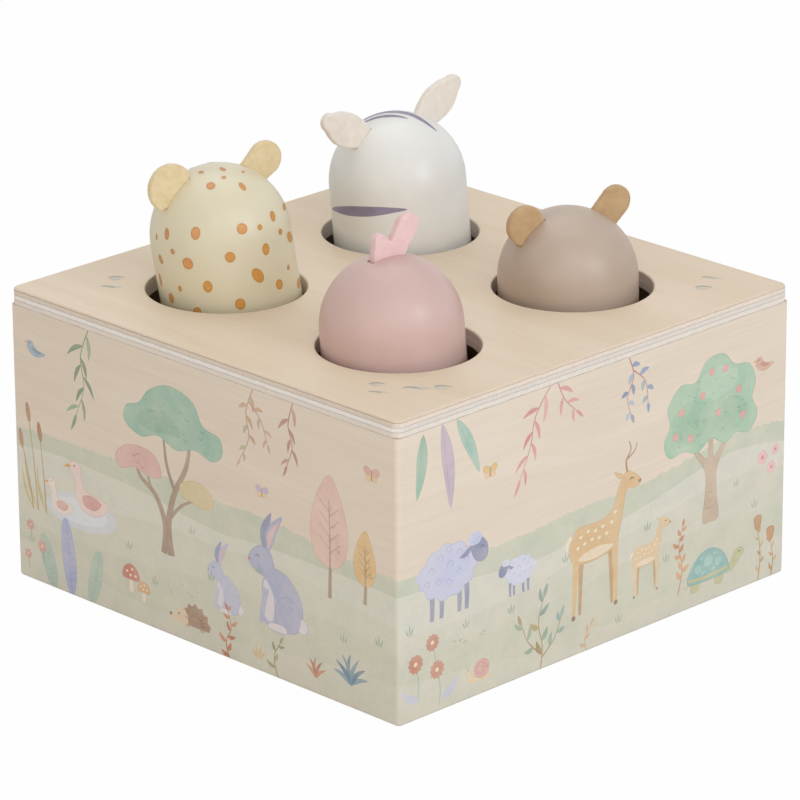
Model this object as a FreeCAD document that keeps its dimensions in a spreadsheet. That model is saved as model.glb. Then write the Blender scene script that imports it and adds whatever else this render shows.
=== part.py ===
import FreeCAD, Part

import math
import os

import Sketcher

# Pop-up animal toy: a square wooden box whose lid has four round holes. Four turned pegs with domed heads
# stand in the holes, each on its own coil spring screwed to the base. Felt ears or a felt crest sit in saw
# cuts. Frame: millimetres, +Z up, origin at the middle of the underside, -Y the front wall, +X the right one.

SIZES = {
    # box
    "box_side": 160,
    "box_height": 90,
    "lid_thickness": 5,
    "lid_corner_radius": 3,
    "lid_easing": 0.6,
    "wall_thickness": 7,
    "wall_corner_radius": 1.5,
    "foot_easing": 1,
    "base_thickness": 8,
    "base_recess": 1,
    "base_clearance": 0.1,
    "block_side": 12,
    "block_height": 30,
    "block_bevel": 5,
    # holes in the lid
    "hole_diameter": 47,
    "hole_inset": 44.5,
    "hole_easing": 0.5,
    # turned pegs
    "peg_diameter": 41,
    "peg_foot_bevel": 1.5,
    "lean_heading": 135,
    # leopard: height of its crown over the lid, lean, sideways shift in the hole, heading of its first ear
    "leopard_rise": 37,
    "leopard_lean": 8.2,
    "leopard_shift": -1.3,
    "leopard_heading": 167,
    # zebra
    "zebra_rise": 36.6,
    "zebra_lean": 4.1,
    "zebra_shift": -0.6,
    "zebra_heading": 175,
    # flamingo
    "flamingo_rise": 26.5,
    "flamingo_lean": 3.7,
    "flamingo_shift": 1.3,
    "flamingo_heading": 167,
    # hippo
    "hippo_rise": 23.4,
    "hippo_lean": 1.4,
    "hippo_shift": 1.2,
    "hippo_heading": 165.5,
    # felt ears and crest
    "leopard_left_spread": 37,
    "leopard_right_spread": 43.3,
    "zebra_left_spread": 37,
    "zebra_right_spread": 37,
    "hippo_left_spread": 38,
    "hippo_right_spread": 38.5,
    "ear_felt": 2.5,
    "crest_felt": 3,
    "slot_play": 0.1,
    "slot_depth": 6,
    "leopard_left_ear_radius": 7.2,
    "leopard_left_ear_reach": 8.9,
    "leopard_left_ear_root": 10.9,
    "leopard_right_ear_place": 1.2,
    "leopard_right_ear_radius": 5.2,
    "leopard_right_ear_reach": 10,
    "leopard_right_ear_root": 9.4,
    "leopard_ear_heel": 0.75,
    "zebra_left_ear_root": 7.4,
    "zebra_right_ear_root": 8.4,
    "zebra_ear_heel": 0.9,
    "zebra_ear_width": 10.2,
    "zebra_ear_belly": 8.8,
    "zebra_ear_length": 16.7,
    "zebra_ear_flank_radius": 13.8,
    "zebra_ear_tip_radius": 2.8,
    "zebra_ear_sweep": 19,
    "hippo_left_ear_root": 10.8,
    "hippo_left_ear_width": 11.8,
    "hippo_left_ear_reach": 8.4,
    "hippo_right_ear_root": 9.4,
    "hippo_right_ear_place": 0.7,
    "hippo_right_ear_radius": 4.8,
    "hippo_right_ear_reach": 10,
    "crest_root": 11.2,
    "crest_small_place": 2.1,
    "crest_small_reach": 6.9,
    "crest_small_radius": 2,
    "crest_notch_place": 1.2,
    "crest_notch_reach": 3.7,
    "crest_large_place": 7.3,
    "crest_large_reach": 10.9,
    "crest_large_radius": 3.4,
    "crest_heel_place": 6.9,
    "crest_heel_reach": 1.4,
    # springs and their fixings
    "spring_height": 44,
    "wire_diameter": 1.2,
    "coil_diameter": 20,
    "end_coil_diameter": 11,
    "active_turns": 8,
    "seat_play": 0.2,
    "washer_diameter": 15,
    "washer_thickness": 1.2,
    "washer_bore": 4.3,
    "screw_diameter": 4,
    "screw_head_diameter": 7.4,
    "screw_head_height": 2.4,
    "screw_head_crown": 1.4,
    "recess_span": 4.2,
    "recess_width": 1,
    "recess_depth": 1.2,
    "base_screw_bite": 5,
    "peg_screw_bite": 14,
    "pilot_play": 0.05,
    "pilot_end_play": 0.2,
    # countersunk screws that hold the base to the corner blocks
    "rim_screw_diameter": 3.5,
    "rim_screw_head_diameter": 7,
    "rim_screw_head_height": 2.4,
    "rim_screw_length": 20,
}

QUARTER_TURN = 90
UPRIGHT = 0.9
TOUCHING = 1e-6
POINTS_PER_TURN = 10
CLOSED_TURNS = 1.5
DRAWN_IN_TURNS = 1
ANIMALS = {"leopard": (-1, 1), "zebra": (1, 1), "flamingo": (-1, -1), "hippo": (1, -1)}

doc = FreeCAD.newDocument("pop_up_animal_toy")
sheet = doc.addObject("Spreadsheet::Sheet", "sizes")
for row, (alias, value) in enumerate(SIZES.items(), start=1):
    sheet.set(f"A{row}", alias)
    sheet.set(f"B{row}", str(value))
    sheet.setAlias(f"B{row}", alias)
doc.recompute()

nodes = []


def size(expression):
    """The number that an expression of the sheet's sizes gives."""
    return float(sheet.evalExpression(expression))


def keep(piece, label):
    """Names a finished piece and lists it for export."""
    piece.Label = label
    nodes.append(piece)
    return piece


def bind(feature, **expressions):
    for name, expression in expressions.items():
        feature.setExpression(name, expression)
    return feature


def body(name, placement=None):
    made = doc.addObject("PartDesign::Body", name)
    if placement:
        made.setExpression("Placement", placement)
    return made


def sketch(owner, role, name, offset=None):
    """A sketch on one of the body's own origin planes, raised along the plane's normal by the offset."""
    plane = next(f for f in owner.Origin.OriginFeatures if f.Role == role)
    made = owner.newObject("Sketcher::SketchObject", name)
    made.AttachmentSupport = [(plane, "")]
    made.MapMode = "FlatFace"
    if offset:
        made.setExpression("AttachmentOffset.Base.z", offset)
    return made


def fix_point(drawing, edge, end, point):
    for kind, expression in zip(("DistanceX", "DistanceY"), point):
        value = float(drawing.evalExpression(expression))
        index = drawing.addConstraint(Sketcher.Constraint(kind, -1, 1, edge, end, value))
        drawing.setExpression(f"Constraints[{index}]", expression)


def fix_radius(drawing, edge, radius):
    value = float(drawing.evalExpression(radius))
    index = drawing.addConstraint(Sketcher.Constraint("Radius", edge, value))
    drawing.setExpression(f"Constraints[{index}]", radius)


def circle(drawing, x, y, radius):
    value = float(drawing.evalExpression(radius))
    edge = drawing.addGeometry(Part.Circle(FreeCAD.Vector(), FreeCAD.Vector(0, 0, 1), value))
    fix_point(drawing, edge, 3, (x, y))
    fix_radius(drawing, edge, radius)


def outline(drawing, corners):
    """A closed outline through (x, y) or (x, y, radius) corners, given in order against the clock.

    A radius makes the edge from that corner to the next an arc that bulges outwards.
    """
    spots = [FreeCAD.Vector(*(float(drawing.evalExpression(e)) for e in c[:2]), 0) for c in corners]
    first = drawing.GeometryCount
    for index, corner in enumerate(corners):
        start, end = spots[index], spots[(index + 1) % len(spots)]
        if len(corner) == 2:
            drawing.addGeometry(Part.LineSegment(start, end))
            continue
        radius = float(drawing.evalExpression(corner[2]))
        chord = end - start
        reach = max(radius**2 - (chord.Length / 2) ** 2, 0) ** 0.5
        inward = FreeCAD.Vector(-chord.y, chord.x, 0).normalize()
        centre = (start + end) * 0.5 + inward * reach
        ring = Part.Circle(centre, FreeCAD.Vector(0, 0, 1), radius)
        angles = [math.atan2(p.y - centre.y, p.x - centre.x) for p in (start, end)]
        drawing.addGeometry(Part.ArcOfCircle(ring, angles[0], angles[1]))
    for index, corner in enumerate(corners):
        edge, following = first + index, first + (index + 1) % len(corners)
        drawing.addConstraint(Sketcher.Constraint("Coincident", edge, 2, following, 1))
        fix_point(drawing, edge, 1, corner[:2])
        if len(corner) > 2:
            fix_radius(drawing, edge, corner[2])


def rectangle(drawing, half_x, half_y):
    outline(
        drawing,
        [
            (f"-({half_x})", f"-({half_y})"),
            (half_x, f"-({half_y})"),
            (half_x, half_y),
            (f"-({half_x})", half_y),
        ],
    )


def pad(owner, drawing, name, length, symmetric=False):
    made = owner.newObject("PartDesign::Pad", name)
    made.Profile = drawing
    made.SideType = "Symmetric" if symmetric else "One side"
    return bind(made, Length=length)


def pocket(owner, drawing, name, length, symmetric=False):
    made = owner.newObject("PartDesign::Pocket", name)
    made.Profile = drawing
    made.SideType = "Symmetric" if symmetric else "One side"
    return bind(made, Length=length)


def revolve(owner, drawing, name):
    """A full turn of a sketch on the XZ plane about its vertical axis."""
    made = owner.newObject("PartDesign::Revolution", name)
    made.Profile = drawing
    made.ReferenceAxis = (drawing, ["V_Axis"])
    made.Angle = 360
    return made


def dress(owner, kind, name, base, edges, dimension, expression):
    """A fillet or chamfer on chosen edges of the base feature."""
    made = owner.newObject(f"PartDesign::{kind}", name)
    made.Base = (base, edges)
    return bind(made, **{dimension: expression})


def edges_where(feature, test):
    """Names of the feature's edges whose middle point passes the test."""
    doc.recompute()
    names = []
    for number, edge in enumerate(feature.Shape.Edges, start=1):
        middle = edge.valueAt((edge.FirstParameter + edge.LastParameter) / 2)
        if test(edge, middle):
            names.append(f"Edge{number}")
    return names


def along(z):
    """A placement straight up the Z axis."""
    return f"placement(vector(0; 0; {z}); rotation(vector(0; 0; 1); 0))"


HALF = "sizes.box_side / 2"
WALL_TOP = "sizes.box_height - sizes.lid_thickness"
BASE_TOP = "sizes.base_recess + sizes.base_thickness"
INSIDE = "sizes.box_side / 2 - sizes.wall_thickness"
HOLE_PLACE = "(sizes.box_side / 2 - sizes.hole_inset)"
PEG_RADIUS = "sizes.peg_diameter / 2"


# Lid: one plywood board with eased rims and four round holes.
def top_panel():
    lid = body("top_panel", along(WALL_TOP))
    board = sketch(lid, "XY_Plane", "lid_board")
    rectangle(board, HALF, HALF)
    slab = pad(lid, board, "lid_slab", "sizes.lid_thickness")
    uprights = edges_where(slab, lambda edge, middle: abs(edge.tangentAt(0).z) > UPRIGHT)
    dress(lid, "Fillet", "lid_corners", slab, uprights, "Radius", "sizes.lid_corner_radius")
    drilled = sketch(lid, "XY_Plane", "lid_holes", "sizes.lid_thickness")
    for side_x, side_y in ANIMALS.values():
        x, y = f"{side_x} * {HOLE_PLACE}", f"{side_y} * {HOLE_PLACE}"
        circle(drilled, x, y, "sizes.hole_diameter / 2")
    holes = pocket(lid, drilled, "lid_bores", "sizes.lid_thickness")
    top, flat = size("sizes.lid_thickness"), size(f"{HALF} - sizes.lid_corner_radius")

    def on_top(middle, outer):
        at_border = max(abs(middle.x), abs(middle.y)) > flat
        return abs(middle.z - top) < TOUCHING and at_border == outer

    rims = edges_where(holes, lambda edge, middle: on_top(middle, outer=False))
    softened = dress(lid, "Fillet", "hole_rims", holes, rims, "Radius", "sizes.hole_easing")
    border = edges_where(softened, lambda edge, middle: on_top(middle, outer=True))
    dress(lid, "Fillet", "lid_rim", softened, border, "Radius", "sizes.lid_easing")
    keep(lid, "top_panel")


# Walls: four boards, mitred at the corners, with a small rounding up the outer corners and an eased foot.
def wall(name, turn):
    board = body(name, f"placement(vector(0; 0; 0); rotation(vector(0; 0; 1); {turn}))")
    plan = sketch(board, "XY_Plane", f"{name}_plan")
    flat = f"{HALF} - sizes.wall_corner_radius"
    round_end = f"{HALF} - sizes.wall_corner_radius * (1 - cos(45))"
    outline(
        plan,
        [
            (f"-({flat})", f"-({HALF})"),
            (flat, f"-({HALF})", "sizes.wall_corner_radius"),
            (round_end, f"-({round_end})"),
            (INSIDE, f"-({INSIDE})"),
            (f"-({INSIDE})", f"-({INSIDE})"),
            (f"-({round_end})", f"-({round_end})", "sizes.wall_corner_radius"),
        ],
    )
    upright = pad(board, plan, f"{name}_board", WALL_TOP)
    outside = size(flat)
    foot = edges_where(upright, lambda edge, middle: abs(middle.z) < TOUCHING and -middle.y > outside)
    dress(board, "Fillet", f"{name}_foot", upright, foot, "Radius", "sizes.foot_easing")
    keep(board, name)


def walls():
    for turn, name in enumerate(("front_panel", "right_panel", "back_panel", "left_panel")):
        wall(name, QUARTER_TURN * turn)


RIM_SCREW_PLACE = f"{INSIDE} - sizes.block_side / 2"
PILOT_RADIUS = "(sizes.screw_diameter / 2 + sizes.pilot_play)"
RIM_PILOT_RADIUS = "(sizes.rim_screw_diameter / 2 + sizes.pilot_play)"
QUADRANTS = [(1, 1), (-1, 1), (-1, -1), (1, -1)]


# Base: a loose board inside the walls, drilled for the four spring screws and countersunk for the rim screws.
def base_panel():
    base = body("base_panel", along("sizes.base_recess"))
    plan = sketch(base, "XY_Plane", "base_plan")
    inner = f"{INSIDE} - sizes.base_clearance"
    rectangle(plan, inner, inner)
    pad(base, plan, "base_board", "sizes.base_thickness")
    spring_holes = sketch(base, "XY_Plane", "base_pilots", "sizes.base_thickness")
    for side_x, side_y in QUADRANTS:
        circle(spring_holes, f"{side_x} * {HOLE_PLACE}", f"{side_y} * {HOLE_PLACE}", PILOT_RADIUS)
    pocket(base, spring_holes, "base_pilot_holes", "sizes.base_screw_bite + sizes.pilot_end_play")
    doc.recompute()
    for number, (side_x, side_y) in enumerate(QUADRANTS):
        hole = sketch(base, "XZ_Plane", f"countersink_{number}", f"-({side_y}) * ({RIM_SCREW_PLACE})")
        middle = f"{side_x} * ({RIM_SCREW_PLACE})"
        head = "(sizes.rim_screw_head_diameter / 2 + sizes.pilot_play)"
        outline(
            hole,
            [
                (middle, "0"),
                (f"{middle} + {head}", "0"),
                (f"{middle} + {RIM_PILOT_RADIUS}", "sizes.rim_screw_head_height"),
                (f"{middle} + {RIM_PILOT_RADIUS}", "sizes.base_thickness"),
                (middle, "sizes.base_thickness"),
            ],
        )
        cut = base.newObject("PartDesign::Groove", f"rim_screw_hole_{number}")
        cut.Profile = hole
        cut.ReferenceAxis = (hole, ["Edge5"])
        cut.Angle = 360
    keep(base, "base_panel")


# Corner blocks: bevelled sticks glued into the mitred corners, which the base is screwed to.
def corner_blocks():
    names = ("back_right_block", "back_left_block", "front_left_block", "front_right_block")
    for turn, name in enumerate(names):
        block = body(
            name,
            f"placement(vector(0; 0; {BASE_TOP}); rotation(vector(0; 0; 1); {QUARTER_TURN * turn}))",
        )
        plan = sketch(block, "XY_Plane", f"{name}_plan")
        inner = f"{INSIDE} - sizes.block_side"
        outline(
            plan,
            [
                (f"{inner} + sizes.block_bevel", inner),
                (INSIDE, inner),
                (INSIDE, INSIDE),
                (inner, INSIDE),
                (inner, f"{inner} + sizes.block_bevel"),
            ],
        )
        pad(block, plan, f"{name}_stick", "sizes.block_height")
        drilled = sketch(block, "XY_Plane", f"{name}_pilot", "sizes.block_height")
        circle(drilled, RIM_SCREW_PLACE, RIM_SCREW_PLACE, RIM_PILOT_RADIUS)
        pocket(block, drilled, f"{name}_hole", "sizes.block_height")
        keep(block, name)


def cross_recess(screw, name, face=None):
    """A cross slot cut down from the head's face into a screw that lies along its body's Z axis."""
    long, short = "sizes.recess_span / 2", "sizes.recess_width / 2"
    for turn, (half_x, half_y) in enumerate(((long, short), (short, long))):
        arm = sketch(screw, "XY_Plane", f"{name}_arm_{turn}", face)
        rectangle(arm, half_x, half_y)
        pocket(screw, arm, f"{name}_recess_{turn}", "sizes.recess_depth")


# Pan-head screw: head up, shank down, with its seat under the head at the body's origin.
def pan_screw(name, bite, placement):
    screw = body(name, placement)
    profile = sketch(screw, "XZ_Plane", f"{name}_profile")
    core = "sizes.screw_diameter / 2"
    brim, crown = "(sizes.screw_head_diameter / 2)", "sizes.screw_head_crown"
    length = f"(sizes.washer_thickness + sizes.wire_diameter + 2 * sizes.seat_play + {bite})"
    cap_radius = f"({brim} ^ 2 + {crown} ^ 2) / (2 * {crown})"
    outline(
        profile,
        [
            ("0", f"-{length}"),
            (core, f"-{length} + sizes.screw_diameter / 2"),
            (core, "0"),
            (brim, "0"),
            (brim, f"sizes.screw_head_height - {crown}", cap_radius),
            ("0", "sizes.screw_head_height"),
        ],
    )
    revolve(screw, profile, f"{name}_turning")
    cross_recess(screw, name, "sizes.screw_head_height")
    return screw


# Countersunk screw: head down in the base's underside, shank up into the corner block.
def rim_screw(name, x, y):
    screw = body(name, f"placement(vector({x}; {y}; sizes.base_recess); rotation(vector(1; 0; 0); 180))")
    profile = sketch(screw, "XZ_Plane", f"{name}_profile")
    core = "sizes.rim_screw_diameter / 2"
    outline(
        profile,
        [
            ("0", "-sizes.rim_screw_length"),
            (core, "-sizes.rim_screw_length + sizes.rim_screw_diameter"),
            (core, "-sizes.rim_screw_head_height"),
            ("sizes.rim_screw_head_diameter / 2", "0"),
            ("0", "0"),
        ],
    )
    revolve(screw, profile, f"{name}_turning")
    cross_recess(screw, name)
    return screw


def washer(name, placement):
    ring = body(name, placement)
    plan = sketch(ring, "XY_Plane", f"{name}_plan")
    circle(plan, "0", "0", "sizes.washer_diameter / 2")
    circle(plan, "0", "0", "sizes.washer_bore / 2")
    pad(ring, plan, f"{name}_ring", "sizes.washer_thickness")
    return ring


def group(label, pieces):
    """Identical pieces kept as one node, a compound of separate solids."""
    made = doc.addObject("Part::Compound", label)
    made.Links = pieces
    keep(made, label)


SPRING_SEAT = f"{BASE_TOP} + sizes.wire_diameter + 2 * sizes.seat_play"


def base_fixings():
    rim_screws = []
    seat_washers = []
    seat_screws = []
    for number, (side_x, side_y) in enumerate(QUADRANTS):
        x, y = f"{side_x} * ({RIM_SCREW_PLACE})", f"{side_y} * ({RIM_SCREW_PLACE})"
        rim_screws.append(rim_screw(f"rim_screw_{number}", x, y))
        x, y = f"{side_x} * {HOLE_PLACE}", f"{side_y} * {HOLE_PLACE}"
        upright = "rotation(vector(0; 0; 1); 0)"
        seat = f"placement(vector({x}; {y}; {SPRING_SEAT}); {upright})"
        seat_washers.append(washer(f"seat_washer_{number}", seat))
        on_washer = f"placement(vector({x}; {y}; {SPRING_SEAT} + sizes.washer_thickness); {upright})"
        seat_screws.append(pan_screw(f"seat_screw_{number}", "sizes.base_screw_bite", on_washer))
    group("base_screws", rim_screws)
    group("spring_seat_washers", seat_washers)
    group("spring_seat_screws", seat_screws)


# Each peg leans about a point on its axis, half way down the lid's thickness.
PIVOT_HEIGHT = "sizes.box_height - sizes.lid_thickness / 2"
FOOT_DEPTH = f"{PIVOT_HEIGHT} - ({BASE_TOP}) - sizes.spring_height"


def peg_placement(animal, extra=""):
    """Where a piece drawn on the peg's own axis stands, with the peg's pivot at the local origin."""
    side_x, side_y = ANIMALS[animal]
    x = f"{side_x} * {HOLE_PLACE} + sizes.{animal}_shift * cos(sizes.lean_heading)"
    y = f"{side_y} * {HOLE_PLACE} + sizes.{animal}_shift * sin(sizes.lean_heading)"
    tilt = "rotation(vector(-sin(sizes.lean_heading); cos(sizes.lean_heading); 0); "
    tilt += f"sizes.{animal}_lean) * rotation(vector(0; 0; 1); sizes.{animal}_heading)"
    return f"placement(vector({x}; {y}; {PIVOT_HEIGHT}); {tilt}){extra}"


def dome_centre(animal):
    """Height of the dome's centre over the pivot, along the peg."""
    return f"(sizes.{animal}_rise + sizes.lid_thickness / 2 - {PEG_RADIUS})"


def ear_spread(animal, side):
    """How far a felt piece leans out from the peg's axis towards the animal's heading. Side 0 stands upright."""
    return {1: f"sizes.{animal}_left_spread", -1: f"(-sizes.{animal}_right_spread)", 0: "0"}[side]


def saw_cut(peg, animal, side, root, felt):
    """A slot across the dome for a felt root, square to the direction that the ear points in."""
    spread = ear_spread(animal, side)
    drawing = sketch(peg, "XZ_Plane", f"{animal}_slot_{side + 1}")
    floor = f"({PEG_RADIUS} - sizes.slot_depth)"
    out = f"({PEG_RADIUS} + sizes.slot_depth)"
    half = f"({root} / 2 + sizes.slot_play)"
    corners = []
    for reach, across in ((floor, f"-{half}"), (out, f"-{half}"), (out, half), (floor, half)):
        x = f"{reach} * sin({spread}) + {across} * cos({spread})"
        z = f"{dome_centre(animal)} + {reach} * cos({spread}) - {across} * sin({spread})"
        corners.append((x, z))
    outline(drawing, corners[::-1])
    pocket(peg, drawing, f"{animal}_cut_{side + 1}", f"{felt} + 2 * sizes.slot_play", symmetric=True)


# Peg: turned from one stick, a cylinder with a half-round dome and a bevelled foot with a pilot hole.
def peg(animal, slots):
    stick = body(f"{animal}_peg", peg_placement(animal))
    profile = sketch(stick, "XZ_Plane", f"{animal}_profile")
    centre = dome_centre(animal)
    pilot = "(sizes.peg_screw_bite + sizes.pilot_end_play)"
    outline(
        profile,
        [
            (PILOT_RADIUS, f"-({FOOT_DEPTH})"),
            (f"{PEG_RADIUS} - sizes.peg_foot_bevel", f"-({FOOT_DEPTH})"),
            (PEG_RADIUS, f"-({FOOT_DEPTH}) + sizes.peg_foot_bevel"),
            (PEG_RADIUS, centre, PEG_RADIUS),
            ("0", f"{centre} + {PEG_RADIUS}"),
            ("0", f"-({FOOT_DEPTH}) + {pilot}"),
            (PILOT_RADIUS, f"-({FOOT_DEPTH}) + {pilot}"),
        ],
    )
    revolve(stick, profile, f"{animal}_turning")
    doc.recompute()
    for side, root, felt in slots:
        saw_cut(stick, animal, side, root, felt)
    keep(stick, f"{animal}_peg")
    foot = f"-({FOOT_DEPTH}) - sizes.wire_diameter - 2 * sizes.seat_play"
    under = f" * placement(vector(0; 0; {foot}); rotation(vector(1; 0; 0); 180))"
    keep(washer(f"{animal}_washer", peg_placement(animal, under)), f"{animal}_washer")
    under_washer = f"{foot} - sizes.washer_thickness"
    below = f" * placement(vector(0; 0; {under_washer}); rotation(vector(1; 0; 0); 180))"
    screw = pan_screw(f"{animal}_screw", "sizes.peg_screw_bite", peg_placement(animal, below))
    keep(screw, f"{animal}_screw")


def felt_piece(animal, label, side, corners, felt):
    """Felt cut to a shape drawn from the dome's centre, with Z out through the root.

    Side 1 turns it towards the peg's heading. Side -1 is the same shape, turned over, on the other side.
    """
    turn = f"rotation(vector(0; 1; 0); {ear_spread(animal, side)})"
    if side < 0:
        turn += " * rotation(vector(0; 0; 1); 180)"
    place = f" * placement(vector(0; 0; {dome_centre(animal)}); {turn})"
    piece = body(label, peg_placement(animal, place))
    drawing = sketch(piece, "XZ_Plane", f"{label}_shape")
    outline(drawing, corners)
    pad(piece, drawing, f"{label}_felt", felt, symmetric=True)
    keep(piece, label)


SLOT_FLOOR = f"({PEG_RADIUS} - sizes.slot_depth + sizes.slot_play)"


def surface(half_root):
    """Height over the dome's centre at which a root of this half width comes out of its saw cut."""
    return f"(sqrt(({PEG_RADIUS}) ^ 2 - {half_root} ^ 2) + sizes.slot_play)"


def lobe(place, reach, radius, angles):
    """Corners of a rounded lobe, whose centre is a radius below its reach over the dome.

    The angles say where it starts, crests and ends, in degrees around that centre.
    """
    corners = []
    for angle in angles:
        x = f"{place} + {radius} * cos({angle})"
        z = f"{PEG_RADIUS} + {reach} - {radius} + {radius} * sin({angle})"
        corners.append((x, z, radius))
    corners[-1] = corners[-1][:2]
    return corners


def right_ear(animal, angles):
    """An ear whose round head stands out from a straight root, set over towards the outside."""
    label = f"{animal}_right_ear"
    half = f"(sizes.{label}_root / 2)"
    head = [f"sizes.{label}_{name}" for name in ("place", "reach", "radius")]
    shape = [
        (f"-{half}", SLOT_FLOOR),
        (half, SLOT_FLOOR),
        (half, surface(half)),
        *lobe(*head, angles),
        (f"-{half}", surface(half)),
    ]
    felt_piece(animal, label, -1, shape, "sizes.ear_felt")


# Leopard ears: the left one is a round disc of felt that overhangs its straight root.
def leopard_ears():
    radius = "sizes.leopard_left_ear_radius"
    middle = f"({PEG_RADIUS} + sizes.leopard_left_ear_reach - {radius})"
    half = "(sizes.leopard_left_ear_root / 2)"
    low = f"({surface(half)} + sizes.leopard_ear_heel)"
    wide = f"sqrt({radius} ^ 2 - ({middle} - {low}) ^ 2)"
    shape = [
        (f"-{half}", SLOT_FLOOR),
        (half, SLOT_FLOOR),
        (half, surface(half)),
        (wide, low, radius),
        ("0", f"{middle} + {radius}", radius),
        (f"-{wide}", low),
        (f"-{half}", surface(half)),
    ]
    felt_piece("leopard", "leopard_left_ear", 1, shape, "sizes.ear_felt")
    right_ear("leopard", (-24, 70, 167))


# Zebra ears: pointed leaves that sweep outwards from a narrow root.
def zebra_ears():
    half_width = "(sizes.zebra_ear_width / 2)"
    flank, tip = "sizes.zebra_ear_flank_radius", "sizes.zebra_ear_tip_radius"
    shoulder = f"(sizes.zebra_ear_length - {tip})"

    def leaf(base, across, out, *radius):
        """A corner of the leaf, given across and along its swept middle line, from the height of its base."""
        x = f"{across} * cos(sizes.zebra_ear_sweep) + {out} * sin(sizes.zebra_ear_sweep)"
        z = f"{base} - {across} * sin(sizes.zebra_ear_sweep) + {out} * cos(sizes.zebra_ear_sweep)"
        return x, z, *radius

    for side, label in ((1, "zebra_left_ear"), (-1, "zebra_right_ear")):
        half_root = f"(sizes.{label}_root / 2)"
        base = surface(half_root)
        shape = [
            (f"-{half_root}", SLOT_FLOOR),
            (half_root, SLOT_FLOOR),
            (half_root, base, flank),
            leaf(base, half_width, "sizes.zebra_ear_belly", flank),
            leaf(base, tip, shoulder, tip),
            leaf(base, "0", "sizes.zebra_ear_length", tip),
            leaf(base, f"(-{tip})", shoulder, flank),
            leaf(base, f"(-{half_width})", "sizes.zebra_ear_belly", flank),
            (f"-{half_root}", f"{base} + sizes.zebra_ear_heel"),
        ]
        felt_piece("zebra", label, side, shape, "sizes.ear_felt")


# Hippo ears: half-rounds with nearly straight flanks.
def hippo_ears():
    half_root, half_width = "(sizes.hippo_left_ear_root / 2)", "(sizes.hippo_left_ear_width / 2)"
    crown = f"({PEG_RADIUS} + sizes.hippo_left_ear_reach)"
    shoulder = f"({crown} - {half_width})"
    shape = [
        (f"-{half_root}", SLOT_FLOOR),
        (half_root, SLOT_FLOOR),
        (half_root, surface(half_root)),
        (half_width, shoulder, half_width),
        ("0", crown, half_width),
        (f"-{half_width}", shoulder),
        (f"-{half_root}", surface(half_root)),
    ]
    felt_piece("hippo", "hippo_left_ear", 1, shape, "sizes.ear_felt")
    right_ear("hippo", (-7, 80, 170))


# Where each lobe of the crest starts, crests and ends, in degrees around its own centre.
SMALL_LOBE_ANGLES = (0, 80, 150)
LARGE_LOBE_ANGLES = (20, 110, 200)


# Flamingo crest: one piece of felt with a small and a large rounded lobe.
def flamingo_crest():
    half = "(sizes.crest_root / 2)"

    small = ("sizes.crest_small_place", "sizes.crest_small_reach", "sizes.crest_small_radius")
    large = ("-sizes.crest_large_place", "sizes.crest_large_reach", "sizes.crest_large_radius")
    shape = [
        (f"-{half}", SLOT_FLOOR),
        (half, SLOT_FLOOR),
        *lobe(*small, SMALL_LOBE_ANGLES),
        ("-sizes.crest_notch_place", f"{PEG_RADIUS} + sizes.crest_notch_reach"),
        *lobe(*large, LARGE_LOBE_ANGLES),
        ("-sizes.crest_heel_place", f"{PEG_RADIUS} + sizes.crest_heel_reach"),
        (f"-{half}", surface(half)),
    ]
    felt_piece("flamingo", "flamingo_crest", 0, shape, "sizes.crest_felt")


def smooth(share):
    return share * share * (3 - 2 * share)


# Spring: closed, drawn-in end coils under the washers and wide open coils between them. Its middle line
# starts upright at the base and ends along the leaning peg, so it is a curve through worked-out points.
def spring(animal):
    peg_frame = next(n for n in nodes if n.Label == f"{animal}_peg").Placement
    side_x, side_y = ANIMALS[animal]
    place, play, wire = size(HOLE_PLACE), size("sizes.seat_play"), size("sizes.wire_diameter")
    low = FreeCAD.Vector(side_x * place, side_y * place, size(BASE_TOP))
    high = peg_frame.multVec(FreeCAD.Vector(0, 0, -size(FOOT_DEPTH)))
    up = FreeCAD.Vector(0, 0, 1)
    peg_axis = peg_frame.Rotation.multVec(up)
    span = (high - low).Length

    def middle_line(share):
        """Point and direction of the bent middle line, a cubic between its two ends."""
        s, r = share, 1 - share
        point = low * (r * r * (1 + 2 * s)) + high * (s * s * (1 + 2 * r))
        point += (up * (r * r * s) - peg_axis * (s * s * r)) * span
        way = (high - low) * (6 * s * r) + (up * (r * (1 - 3 * s)) + peg_axis * (s * (3 * s - 2))) * span
        return point, way.normalize()

    open_turns = size("sizes.active_turns")
    turns = open_turns + 2 * CLOSED_TURNS
    tight, wide = size("sizes.end_coil_diameter") / 2, size("sizes.coil_diameter") / 2
    lowest = (wire / 2 + play) / span
    points = []
    for step in range(round(turns * POINTS_PER_TURN) + 1):
        turn = step / POINTS_PER_TURN
        from_end = min(turn, turns - turn)
        rise = min(max((turn - CLOSED_TURNS) / open_turns, 0), 1)
        widening = smooth(min(max((from_end - DRAWN_IN_TURNS) / (CLOSED_TURNS - DRAWN_IN_TURNS), 0), 1))
        radius = tight + (wide - tight) * widening
        centre, way = middle_line(lowest + (1 - 2 * lowest) * rise)
        first = (FreeCAD.Vector(1, 0, 0) - way * way.x).normalize()
        second = way.cross(first)
        angle = 2 * math.pi * turn
        points.append(centre + first * (radius * math.cos(angle)) + second * (radius * math.sin(angle)))
    path = Part.BSplineCurve()
    path.interpolate(points)
    start, direction = points[0], path.tangent(path.FirstParameter)[0]
    section = Part.Wire([Part.Circle(start, direction, wire / 2).toShape()])
    coil = Part.Wire([path.toShape()]).makePipeShell([section], True, True)
    made = doc.addObject("Part::Feature", f"{animal}_spring")
    made.Shape = coil if coil.ShapeType == "Solid" else Part.Solid(coil.Shells[0])
    keep(made, f"{animal}_spring")


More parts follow.
